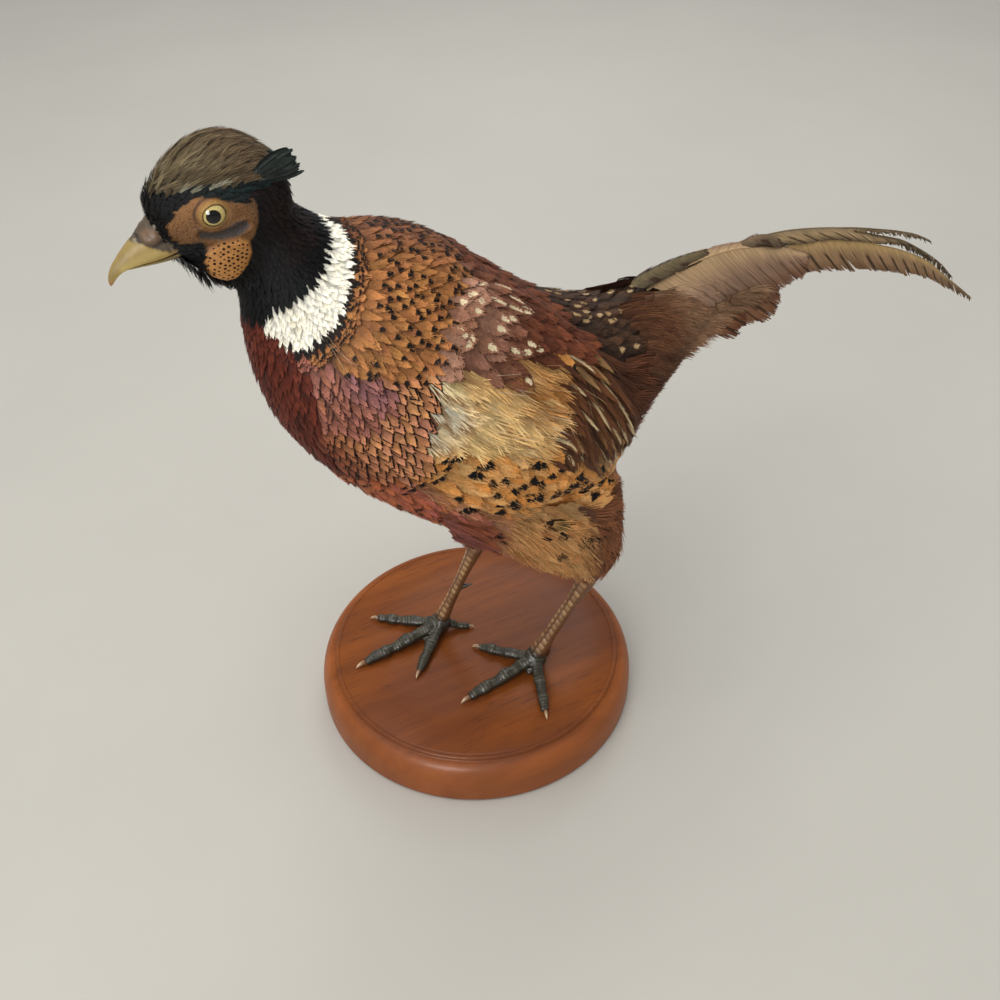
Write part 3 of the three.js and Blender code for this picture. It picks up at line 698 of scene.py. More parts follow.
def pick(count, *choices):
    """Random mixtures of a few colours."""
    weights = dice.dirichlet(np.full(len(choices), 0.8), count)
    return weights @ np.array(choices)


def tract_colours(name, points, place):
    """Tint, ink and dark colours and the marks of feathers whose tips are at `points`."""
    count = len(points)
    tint = np.zeros((count, 3))
    ink = np.tile(INK, (count, 1))
    dark = np.tile(colour(70, 36, 24), (count, 1))
    spot = np.zeros((count, 3))
    trim = np.zeros((count, 3))
    chance = dice.random(count)
    along, round_ = place[:, 0], place[:, 1]
    if name == "mantle":
        tint = pick(count, colour(218, 154, 86), colour(184, 122, 68), colour(204, 132, 80), colour(156, 98, 62))
        tint = blend(tint, pick(count, colour(162, 106, 68), colour(108, 66, 45), colour(132, 82, 56)), ramp(round_, 26, 4))
        dark[:] = colour(84, 50, 30)
        spot = np.stack([np.full(count, 0.84), np.full(count, 0.12), np.where(chance < 0.62, 0.62, 0.0)], 1)
        ink[:] = colour(24, 18, 15)
        trim[:, 0] = 0.13
    elif name == "breast":
        copper = pick(count, colour(238, 170, 112), colour(216, 144, 92), colour(226, 152, 120))
        tint = blend(copper, pick(count, colour(156, 84, 54), colour(134, 66, 44)), ramp(round_, 70, 86))
        dark[:] = colour(26, 15, 12)
        trim[:, 0] = 0.31
    elif name == "gloss":
        tint = pick(count, colour(184, 118, 104), colour(194, 124, 92), colour(178, 112, 94))
        # Painted sheen: the upper front of the tract is painted pinker and more purple, where the gloss shows.
        tint = blend(tint, pick(count, colour(168, 114, 122), colour(180, 118, 110)), ramp(round_, 70, 60) * ramp(along, 92, 78))
        tint = blend(tint, pick(count, colour(140, 72, 58), colour(124, 62, 52)), ramp(along, 60, 46))
        dark[:] = colour(52, 28, 26)
        trim[:, 0] = 0.24
    elif name == "maroon":
        tint = pick(count, colour(112, 48, 32), colour(92, 38, 26), colour(130, 60, 42))
        dark[:] = colour(66, 28, 20)
        trim[:, 0] = 0.1
    elif name == "scapular":
        front = ramp(along, 150, 95) * ramp(round_, 8, 20)
        tint = blend(pick(count, colour(124, 68, 45), colour(96, 52, 34), colour(136, 76, 48)),
                     pick(count, colour(190, 144, 120), colour(152, 106, 88), colour(174, 122, 92)), front * 0.95)
        ink[:] = colour(232, 214, 176)
        dark[:] = colour(66, 38, 28)
        chest = ramp(along, 152, 146) * ramp(round_, 19, 22) * ramp(round_, 38, 36)
        tear = chance < 0.07 * (round_ > 13) + 0.42 * chest
        spot = np.stack([np.full(count, 0.78), np.where(tear, 0.13, 0), np.where(tear, 0.3, 0)], 1)
        trim[:, 0] = 0.1
        streaked = (chance > 0.35) & (along > 102) & (along < 138) & (round_ > 13) & (round_ < 22)
        spot[:, 1] = np.where(streaked, 0.3, spot[:, 1])
        spot[:, 2] = np.where(streaked, 0.16, spot[:, 2])
    elif name == "back":
        tint = pick(count, colour(70, 50, 37), colour(88, 60, 42), colour(54, 40, 32))
        ink = pick(count, colour(196, 168, 124), colour(150, 116, 76))
        spotted = chance < 0.36
        spot = np.stack([np.full(count, 0.8), np.where(spotted, 0.12, 0), np.where(spotted, 0.42, 0)], 1)
        dark[:] = colour(42, 30, 24)
        trim[:, 0] = 0.1
    elif name == "rump":
        tint = pick(count, colour(110, 66, 44), colour(84, 53, 38), colour(128, 78, 52))
        tint = blend(tint, colour(66, 49, 38), ramp(round_, 26, 8) * 0.7)
    elif name in ("cream", "silver"):
        tint = pick(count, colour(254, 236, 188), colour(248, 218, 156), colour(240, 212, 148)) * 1.12
        gold = np.maximum(ramp(round_, 46, 37), ramp(along, 150, 185) * 0.8)
        tint = blend(tint, pick(count, colour(220, 160, 92), colour(186, 128, 70), colour(246, 214, 156)), gold)
        white = ramp(along, 132, 112) * ramp(round_, 45, 52)
        if name == "cream":
            tint = tint * np.array([1.1, 0.98, 0.84])
        tint = blend(tint, colour(255, 250, 232), white * 0.7)
        tint = blend(tint, pick(count, colour(178, 128, 74), colour(196, 150, 98)), (chance > 0.82) * 0.8)
    elif name == "quills":
        tint = pick(count, colour(108, 66, 44), colour(78, 49, 33), colour(140, 88, 54))
        tint = blend(tint, pick(count, colour(188, 150, 100), colour(150, 108, 66)), (dice.random(count) < 0.1) * 0.8)
        ink[:] = colour(214, 190, 146)
        trim[:, 2] = np.where(chance < 0.2, 0.34, 0)
        dark[:] = colour(48, 32, 25)
        trim[:, 0] = 0.08
    elif name == "flank":
        tint = pick(count, colour(244, 170, 90), colour(222, 146, 68), colour(244, 192, 126))
        tint = blend(tint, pick(count, colour(168, 96, 74), colour(160, 100, 104)), ramp(round_, 68, 78))
        border = ramp(along + 0.6 * (round_ - 60), 152, 140)
        barred = (chance < 0.38 + 0.5 * border) & (along > 96)
        spot = np.stack([np.full(count, 0.86), np.where(barred, 0.12, 0), np.where(barred, 0.8, 0)], 1)
        ink[:] = colour(20, 17, 17)
        dark[:] = colour(150, 92, 50)
        trim[:, 0] = 0.05
    elif name == "belly":
        tint = pick(count, colour(204, 110, 68), colour(180, 104, 98), colour(206, 124, 72))
        tint = blend(tint, pick(count, colour(124, 54, 36), colour(104, 44, 30)), ramp(along + round_ - 88, 38, 16))
        tint = blend(tint, pick(count, colour(118, 66, 44), colour(100, 58, 42)), ramp(along, 170, 210))
        barred = chance < 0.22
        spot = np.stack([np.full(count, 0.86), np.where(barred, 0.08, 0), np.where(barred, 0.7, 0)], 1)
        dark[:] = colour(84, 44, 32)
        trim[:, 0] = 0.1
    elif name == "thigh":
        tint = pick(count, colour(206, 152, 96), colour(186, 122, 68), colour(200, 140, 84))
        side_shift = np.where(points[:, 0] < MIDLINE_X, -28, 0)
        rear = ramp(points[:, 1] - side_shift + 0.25 * (points[:, 2] - 150), 34, 46)
        rear = np.maximum(rear, ramp(-points[:, 2], -128, -116))
        tint = blend(tint, pick(count, colour(172, 110, 70), colour(132, 80, 54), colour(154, 100, 70)), rear)
    elif name == "neck":
        tint = pick(count, colour(17, 16, 18), colour(23, 20, 22), colour(14, 20, 20))
        nape = ramp(round_, 55, 25) * ramp(along, 26, -6)
        tint = blend(tint, colour(34, 25, 24), nape * 0.7)
    elif name == "collar":
        tint = pick(count, colour(252, 249, 234), colour(246, 240, 220), colour(255, 253, 244)) * 1.22
        dark = tint.copy()
        return tint * speckle(count, 0.96, 1.05), ink, dark, spot, trim
    elif name == "band":
        tint = pick(count, colour(34, 26, 22), colour(52, 36, 28), colour(24, 20, 19))
    elif name == "cheek":
        head = to_head(points)
        tint = pick(count, colour(18, 17, 18), colour(28, 23, 24))
        tint = blend(tint, pick(count, colour(40, 28, 26), colour(30, 24, 23)), ramp(head[:, 1], 10, 22))
        throat = ramp(head[:, 1], -9, -13) * ramp(head[:, 2], -16, -11)
        tint = blend(tint, pick(count, colour(44, 46, 50), colour(34, 33, 36)), throat * 0.8)
    elif name == "brow":
        head = to_head(points)
        teal = pick(count, colour(24, 44, 42), colour(18, 26, 27))
        tint = blend(pick(count, colour(14, 14, 16), colour(18, 20, 20)), teal, ramp(head[:, 1], -4, 14))
    elif name in ("lore", "chin"):
        tint = pick(count, colour(17, 15, 16), colour(25, 22, 22))
    elif name == "crown":
        head = to_head(points)
        tint = pick(count, colour(142, 124, 92), colour(110, 94, 68), colour(86, 71, 52), colour(154, 138, 106))
        tint = blend(tint, pick(count, colour(112, 84, 64), colour(80, 62, 48)), ramp(head[:, 1], 6, 26) * 0.6)
        hem = head[:, 2] - np.interp(head[:, 1], CAP_LINE[0], CAP_LINE[1])
        fleck = (hem < 1.8) & (head[:, 1] > -7) & (head[:, 1] < 21) & (dice.random(count) < 0.5)
        tint = np.where(fleck[:, None], colour(178, 174, 150), tint)
        tint = blend(tint, colour(36, 31, 26), ramp(hem, 3.0, 0.5) * ramp(head[:, 1], -6, -12) * 0.8)
    tint = tint * speckle(count, 0.82, 1.16)
    return tint, ink, dark, spot, trim


# ---------------------------------------------------------------- growing feathers

def flow_at(points, normals):
    """The lie of the coat over the skin."""
    station, along, round_, _ = body_place(points)
    lie = blend(dorsal_run[station], ventral_run[station], round_ / 100)
    down = np.array([0, 0.28, -1.0])
    draped = ramp(inside(np.stack([along, round_], 1), TRACT_OUTLINES["quills"]), -12, 4)
    lie = blend(lie, down, draped * 0.85)
    x = np.abs(points[:, 0] - MIDLINE_X)
    thigh = ramp(-points[:, 2], -190, -150) * ramp(x, 10, 22) * ramp(points[:, 1], -30, 0)
    lie = blend(lie, blend(np.array([0, 0.75, -0.65]), np.array([0, 0.1, -1.0]), ramp(-points[:, 2], -165, -120)), thigh)
    rump_side = ramp(along, 225, 260) * ramp(round_, 20, 45)
    lie = blend(lie, np.array([0, 0.7, -0.7]), rump_side * 0.7)
    head = to_head(points)
    turn = ramp(head[:, 1] * 0.8 - head[:, 2], 2, 30)
    over_head = blend(head_back, unit(np.array([0.0, 0.45, -0.9])), turn)
    lie = blend(lie, over_head, ramp(head[:, 1], 36, 26) * ramp(points[:, 2], 330, 345))
    lie = lie - normals * dot(lie, normals)[:, None]
    return unit(lie)


def trace(roots, lengths, steps, lean):
    """Paths over the skin: points, normals and directions at steps + 1 places along each feather."""
    point, normal = on_skin(roots)
    path, normals, lies = [point], [normal], []
    for _ in range(steps):
        lie = flow_at(point, normal)
        lie = unit(lie + np.cross(normal, lie) * lean[:, None])
        lies.append(lie)
        point, normal = on_skin(point + lie * (lengths / steps)[:, None])
        path.append(point)
        normals.append(normal)
    lies.append(lies[-1])
    return np.stack(path, 1), np.stack(normals, 1), np.stack(lies, 1)


def along_path(values, share):
    """Values at a share of each path; share is (feathers, places) and may pass 1."""
    last = values.shape[1] - 1
    spot = np.clip(share, 0, 1.4) * last
    low = np.clip(np.floor(spot).astype(int), 0, last - 1)
    rest = (spot - low)[..., None]
    row = np.arange(len(values))[:, None]
    return values[row, low] * (1 - rest) + values[row, low + 1] * rest


def skin_map(points):
    """An unwrap of the skin's own shape: along the spine and round it."""
    _, along, round_, side = body_place(points)
    head = to_head(points)
    before = np.clip((34 - head[:, 1]) / 60, 0, 1) * (points[:, 2] > 330) * 60
    lengthwise = np.clip(0.03 + 0.9 * (along - before + 62) / 430, 0.01, 0.99)
    return np.stack([lengthwise, 0.61 + side * round_ / 100 * 0.37], 1)


PATCH = 0.003


def vane_outline(rows, tip_start, sharpness):
    """Half width along a vane: a quick swell, then a tip that starts at `tip_start`."""
    rows = np.minimum(rows, 1.0)
    swell = 0.35 + 0.65 * ramp(rows, 0, 0.35)
    tip = np.clip((rows - tip_start) / (1 - tip_start), 0, 1)
    return np.maximum(swell * (1 - tip ** sharpness) ** (1 / 1.4), 0.05)


def make_vanes(paths, lengths, widths, lifts, rows, columns, outline, cup, ragged):
    """Cupped vanes along paths. Returns points (feathers, places, 3) and vane places."""
    path, normals, lies = paths
    count = len(lengths)
    share = np.tile(rows, (count, 1))
    centre, normal, lie = (along_path(values, share) for values in (path, normals, lies))
    normal = unit(normal)
    across = unit(np.cross(normal, lie))
    half = widths[:, None, None] * outline[None, :, None] * columns[None, None, :]
    half = half * (1 + ragged * dice.uniform(-1, 1, half.shape) * np.abs(columns) ** 3)
    rise = (lifts[0][:, None] + (lifts[1] - lifts[0])[:, None] * share ** 0.9)[:, :, None]
    sag = cup * half ** 2 / widths[:, None, None]
    back = -0.35 * np.abs(half) * ramp(rows, 0.3, 0.9)[None, :, None]
    points = (centre[:, :, None] + across[:, :, None] * half[..., None]
              + normal[:, :, None] * (rise - sag)[..., None] + lie[:, :, None] * back[..., None])
    own = dice.random(count)
    vane = np.empty((*half.shape, 3))
    vane[..., 0] = columns
    vane[..., 1] = rows[None, :, None]
    vane[..., 2] = own[:, None, None]
    shape = (count, len(rows) * len(columns), 3)
    return points.reshape(shape), vane.reshape(shape), grid_faces(len(rows), len(columns))


def make_barbs(paths, widths, lifts, outline_at, pairs, hair, stray):
    """Loose barbs that leave the shaft and end just past the vane's edge, over it."""
    path, normals, lies = paths
    count = len(widths)
    rows = np.array([0, 0.5, 1.0])
    taper = np.array([0.8, 0.75, 0.1])
    points, vanes = [], []
    own = dice.random(count)
    for barb in range(pairs * 2):
        side = 1 if barb % 2 else -1
        start = 0.28 + 0.6 * (barb // 2 + dice.uniform(0, 1, count)) / pairs
        share = start[:, None] + rows[None] * dice.uniform(0.2, 0.34, count)[:, None]
        centre, normal, lie = (along_path(values, share) for values in (path, normals, lies))
        normal = unit(normal)
        across = unit(np.cross(normal, lie))
        reach = dice.uniform(0.75, 1.0 + stray, count)[:, None]
        out = side * widths[:, None] * np.maximum(outline_at(share), 0.16) * (0.12 + 0.88 * rows[None] ** 0.8) * reach
        rise = lifts[0][:, None] + (lifts[1] - lifts[0])[:, None] * share ** 0.9 + 0.14
        rise = rise - 0.3 * out ** 2 / widths[:, None] + dice.uniform(0, stray, count)[:, None] * rows[None]
        middle = centre + across * out[..., None] + normal * rise[..., None]
        half = hair * taper[None] * dice.uniform(0.7, 1.3, count)[:, None]
        edge = unit(across - lie * side * 0.6)
        pair = np.stack([middle - edge * half[..., None], middle + edge * half[..., None]], 2)
        points.append(pair.reshape(count, -1, 3))
        vane = np.empty((count, len(rows), 2, 3))
        vane[..., 0] = (out / widths[:, None])[..., None]
        vane[..., 1] = np.minimum(share, 1.0)[:, :, None]
        vane[..., 2] = (own[:, None, None] + barb * 0.137) % 1
        vanes.append(vane.reshape(count, -1, 3))
    each = len(rows) * 2
    faces = np.concatenate([grid_faces(len(rows), 2) + barb * each for barb in range(pairs * 2)])
    return np.concatenate(points, 1), np.concatenate(vanes, 1), faces


def make_hairs(paths, lengths, widths, lifts, strands, hair, spread, stand):
    """Loose barbs fanning along paths. Each strand is a tapering ribbon of three quads."""
    path, normals, lies = paths
    count = len(lengths)
    rows = np.array([0, 0.38, 0.74, 1.0])
    taper = np.array([1.0, 0.9, 0.6, 0.12])
    points, vanes = [], []
    own = dice.random(count)
    for strand in range(strands):
        fan = (strand + 0.5) / strands * 2 - 1
        reach = dice.uniform(0.68, 1.12, count) * (1 - 0.22 * fan ** 2)
        share = rows[None] * reach[:, None]
        centre, normal, lie = (along_path(values, share) for values in (path, normals, lies))
        normal = unit(normal)
        across = unit(np.cross(normal, lie))
        sway = dice.normal(0, 0.16, count)[:, None] * rows[None] ** 1.5
        side = widths[:, None] * (fan * (0.35 + spread * share) + sway)
        rise = lifts[0][:, None] + (lifts[1] - lifts[0])[:, None] * share ** 0.9
        rise = rise + stand * lengths[:, None] * (dice.uniform(-0.3, 1, count)[:, None] * share ** 2)
        rise = rise - 0.25 * side ** 2 / widths[:, None]
        middle = centre + across * side[..., None] + normal * np.maximum(rise, -0.5)[..., None]
        half = hair * taper[None] * dice.uniform(0.7, 1.3, count)[:, None]
        twist = dice.uniform(-0.5, 0.5, count)[:, None, None]
        edge = unit(across + normal * twist)
        pair = np.stack([middle - edge * half[..., None], middle + edge * half[..., None]], 2)
        points.append(pair.reshape(count, -1, 3))
        vane = np.empty((count, len(rows), 2, 3))
        vane[..., 0] = fan * 0.8
        vane[..., 1] = share[:, :, None]
        vane[..., 2] = (own[:, None, None] + strand * 0.11) % 1
        vanes.append(vane.reshape(count, -1, 3))
    each = len(rows) * 2
    faces = np.concatenate([grid_faces(len(rows), 2) + strand * each for strand in range(strands)])
    return np.concatenate(points, 1), np.concatenate(vanes, 1), faces


class Coat:
    """Feathers gathered into one piece."""

    def __init__(self):
        self.points, self.faces, self.marks, self.uv, self.total = [], [], [], [], 0

    def add(self, shape, roots, colours):
        points, vane, faces = shape
        count, each = points.shape[:2]
        self.faces.append(repeat_faces(faces, count, each) + self.total)
        self.points.append(points.reshape(-1, 3))
        marks = [np.repeat(values, each, axis=0) for values in colours]
        self.marks.append([vane.reshape(-1, 3), *marks])
        local = np.stack([vane[..., 0] * 0.5, vane[..., 1] - 0.5], 2) * PATCH
        self.uv.append((skin_map(roots)[:, None] + local).reshape(-1, 2))
        self.total += count * each

    def add_painted(self, points, vane, faces, places, marks):
        """Feathers whose colours are given point by point, at their own places on the unwrap."""
        count, each = points.shape[:2]
        self.faces.append(repeat_faces(faces, count, each) + self.total)
        self.points.append(points.reshape(-1, 3))
        self.marks.append([vane.reshape(-1, 3), *(values.reshape(-1, 3) for values in marks)])
        local = np.stack([vane[..., 0] * 0.5, vane[..., 1] - 0.5], 2) * PATCH
        self.uv.append((places[:, None] + local).reshape(-1, 2))
        self.total += count * each

    def build(self, name, material, slot):
        keys = ("vane", "tint", "ink", "dark", "spot", "trim")
        marks = {key: np.concatenate([block[i] for block in self.marks]) for i, key in enumerate(keys)}
        faces = np.concatenate(self.faces)
        print("coat", name, "tris", len(faces) * 2)
        return new_piece(name, np.concatenate(self.points), faces, material, marks, np.concatenate(self.uv))


def scatter(spacing_at, wanted, tries):
    """Points over the skin, no two nearer than spacing_at gives."""
    a, b, c, d = (skin_points[skin_faces[:, k]] for k in range(4))
    area = np.linalg.norm(np.cross(c - a, d - b), axis=1) / 2
    centres = (a + b + c) / 3
    area = area * wanted(centres)
    face = dice.choice(len(area), tries, p=area / area.sum())
    u, v = dice.random((2, tries, 1))
    half = dice.random(tries) < 0.5
    flip = (u + v) > 1
    u, v = np.where(flip, 1 - u, u), np.where(flip, 1 - v, v)
    third = np.where(half[:, None], c[face], d[face])
    second = np.where(half[:, None], b[face], c[face])
    spots = a[face] + (second - a[face]) * u + (third - a[face]) * v
    spacing = spacing_at(spots)
    cell = spacing.max()
    cells = {}
    kept = []
    keys = np.floor(spots / cell).astype(int).tolist()
    listed = spots.tolist()
    for i, (cx, cy, cz) in enumerate(keys):
        x, y, z = listed[i]
        room = spacing[i] ** 2
        clear = True
        for key in NEIGHBOURS:
            for ox, oy, oz in cells.get((cx + key[0], cy + key[1], cz + key[2]), ()):
                if (x - ox) ** 2 + (y - oy) ** 2 + (z - oz) ** 2 < room:
                    clear = False
                    break
            if not clear:
                break
        if clear:
            cells.setdefault((cx, cy, cz), []).append((x, y, z))
            kept.append(i)
    return spots[kept]


NEIGHBOURS = [(i, j, k) for i in (0, -1, 1) for j in (0, -1, 1) for k in (0, -1, 1)]

# For each tract: spacing, length, half width, lift of root and tip, lean,
# and the kind of feather (v a vane with loose barbs at its edge, h loose barbs alone).
TRACTS = {
    "mantle": (3.2, 11.5, 3.0, 0.4, 1.7, 0.13, "v"),
    "breast": (4.0, 11, 3.7, 0.4, 1.9, 0.05, "v"),
    "gloss": (3.6, 10, 3.2, 0.4, 2.0, 0.08, "v"),
    "maroon": (3.0, 9.5, 2.6, 0.4, 1.7, 0.14, "v"),
    "scapular": (5.4, 21, 5.3, 0.5, 2.2, 0.12, "v"),
    "back": (4.4, 17, 3.8, 0.4, 2.4, 0.18, "v"),
    "rump": (3.6, 23, 3.0, 0.4, 3.2, 0.16, "h"),
    "cream": (3.6, 24, 4.4, 0.5, 1.9, 0.14, "h"),
    "silver": (2.3, 12, 3.0, 0.4, 1.6, 0.16, "h"),
    "quills": (4.4, 38, 2.7, 0.5, 3.4, 0.10, "v"),
    "flank": (5.0, 25, 5.6, 0.5, 2.4, 0.12, "v"),
    "belly": (4.6, 18, 4.2, 0.4, 2.4, 0.14, "v"),
    "thigh": (3.5, 17, 3.4, 0.2, 2.8, 0.26, "h"),
    "neck": (1.95, 6.5, 1.4, 0.2, 1.1, 0.12, "v"),
    "collar": (1.4, 5.0, 1.35, 0.3, 1.2, 0.12, "v"),
    "band": (1.4, 4.2, 1.2, 0.5, 1.9, 0.1, "v"),
    "cheek": (1.75, 5.5, 1.2, 0.1, 0.8, 0.15, "v"),
    "brow": (1.75, 5.6, 1.25, 0.1, 1.1, 0.12, "v"),
    "lore": (1.4, 4.6, 1.1, 0.4, 1.2, 0.2, "v"),
    "chin": (1.3, 7.5, 1.5, 0.3, 3.2, 0.2, "v"),
    "crown": (1.55, 9, 1.15, 0.4, 1.7, 0.14, "h"),
}
PAIRS = {"breast": 2, "gloss": 3, "maroon": 3, "flank": 9, "scapular": 8, "quills": 9, "back": 7, "belly": 7}     # loose barbs to each side of a vane
STRAY = {"flank": 0.22, "scapular": 0.25, "quills": 0.5, "back": 0.4, "belly": 0.3, "mantle": 0.35, "breast": 0.06}
STAND = {"thigh": 0.09, "chin": 0.16, "cream": 0.03, "crown": 0.05}        # how far loose barbs stand up
# Where a vane starts to narrow, and how blunt its tip is.
TIP_SHAPES = {"breast": (0.42, 1.25), "gloss": (0.4, 1.25), "maroon": (0.35, 1.1), "mantle": (0.4, 1.25),
              "quills": (0.3, 1.2)}

TRACT_NUMBERS = np.array([TRACTS[name][:6] for name in TRACT_ORDER])


def spacing_at(points):
    tract, _, _ = tract_at(points)
    return TRACT_NUMBERS[tract, 0]


def wanted_skin(points):
    under_tail = (points[:, 1] > 114) & (points[:, 2] > 216)
    return (face_bareness(points) < 0.5) & ((to_head(points)[:, 1] > -24) | (points[:, 2] < 330)) & ~under_tail


FINE_TRACTS = ("neck", "collar", "band", "cheek", "brow", "lore", "chin", "crown")


def is_fine(points):
    tract, _, _ = tract_at(points)
    return np.isin(tract, [TRACT_ORDER.index(name) for name in FINE_TRACTS])


def loft_at(points):
    """Extra lift where the mount's feathers stand off the skin: under the chin and over the forehead."""
    head = to_head(points)
    on_head = ramp(points[:, 2], 325, 335)
    under = ramp(-head[:, 2], 17, 27) * ramp(-head[:, 1], -4, 8)
    forehead = ramp(-head[:, 1], 0, 9) * ramp(head[:, 2], 9, 15)
    nape = ramp(head[:, 1], 19, 27) * ramp(-head[:, 2], -5, 3) * ramp(-head[:, 2], 34, 24)
    return on_head * (3.0 * under + 0.4 * forehead + 1.3 * nape)


def grow_coat():
    coarse = scatter(spacing_at, lambda p: wanted_skin(p) & ~is_fine(p), 90000)
    fine = scatter(spacing_at, lambda p: wanted_skin(p) & is_fine(p), 90000)
    roots = np.concatenate([coarse, fine])
    root_tract, _, _ = tract_at(roots)
    numbers = TRACT_NUMBERS[root_tract]
    lengths = numbers[:, 1] * dice.uniform(0.85, 1.15, len(roots))
    lean = dice.normal(0, 1, len(roots)) * numbers[:, 5]
    path, normals, lies = trace(roots, lengths, 4, lean)
    fine_root = np.arange(len(roots)) >= len(coarse)
    showing = np.where(fine_root[:, None], path[:, 3] * 0.2 + path[:, 4] * 0.8, path[:, 3])
    tract, place, side = tract_at(showing, np.where(fine_root, 0.35, 0.8))
    coats = {}
    for index, name in enumerate(TRACT_ORDER):
        chosen = tract == index
        if not chosen.any():
            continue
        spacing, length, width, root_lift, tip_lift, _, kind = TRACTS[name]
        paths = (path[chosen], normals[chosen], lies[chosen])
        count = int(chosen.sum())
        widths = width * dice.uniform(0.85, 1.15, count)
        fuller = loft_at(showing[chosen]) * dice.uniform(0.1, 1.0, count)
        lifts = (root_lift * dice.uniform(0.6, 1.2, count),
                 tip_lift * dice.uniform(0.75, 1.1, count) + fuller)
        colours = tract_colours(name, showing[chosen], place[chosen])
        coat = coats.setdefault(name, Coat())
        fine_feather = name in FINE_TRACTS
        if kind == "v":
            shape = TIP_SHAPES.get(name, (0.45, 1.9))
            rows = np.array([0, 0.5, 0.85, 1.0]) if fine_feather else np.array([0, 0.25, 0.48, 0.66, 0.8, 0.92, 1.0])
            columns = np.array([-1, 0, 1.0]) if fine_feather else np.array([-1, -0.55, 0, 0.55, 1.0])
            outline = vane_outline(rows, *shape)
            coat.add(make_vanes(paths, lengths[chosen], widths, lifts, rows, columns, outline, 0.3, 0.16),
                     roots[chosen], colours)
            pairs = 3 if fine_feather else PAIRS.get(name, 6)
            coat.add(make_barbs(paths, widths, lifts, lambda share, k=shape: vane_outline(share, *k), pairs,
                                0.06 * width + 0.06, STRAY.get(name, 0.2)), roots[chosen], colours)
        else:
            strands = 6 if fine_feather else 12 if name == "cream" else 9
            hair = width * 0.075 + 0.09
            raised = (lifts[0] + 0.3, lifts[1] + 0.25)
            coat.add(make_hairs(paths, lengths[chosen] * 1.04, widths, raised, strands, hair, 0.75,
                                STAND.get(name, 0.03)), roots[chosen], colours)
    return coats


TRACT_SLOTS = {"rump": "rump_feather", "cream": "wing_feather", "silver": "wing_feather", "scapular": "wing_feather", "quills": "wing_feather",
               "thigh": "thigh_feather", "neck": "neck_feather", "collar": "collar_feather", "band": "collar_feather", "cheek": "neck_feather",
               "brow": "head_feather", "lore": "head_feather", "crown": "head_feather", "back": "rump_feather"}

# Where the left flank's long feathers end over the gap before the thigh, and where they start: x, y, z.
SKIRT_HEM = ((20, -22, 148), (30, -10, 143), (40, -4, 144), (45, 12, 132), (48, 30, 118), (50, 41, 109), (50, 52, 99))
SKIRT_TOP = ((50, -46, 186), (57, -32, 184), (62, -17, 183), (65, 0, 179), (67, 16, 174), (68, 31, 167), (68, 44, 158))


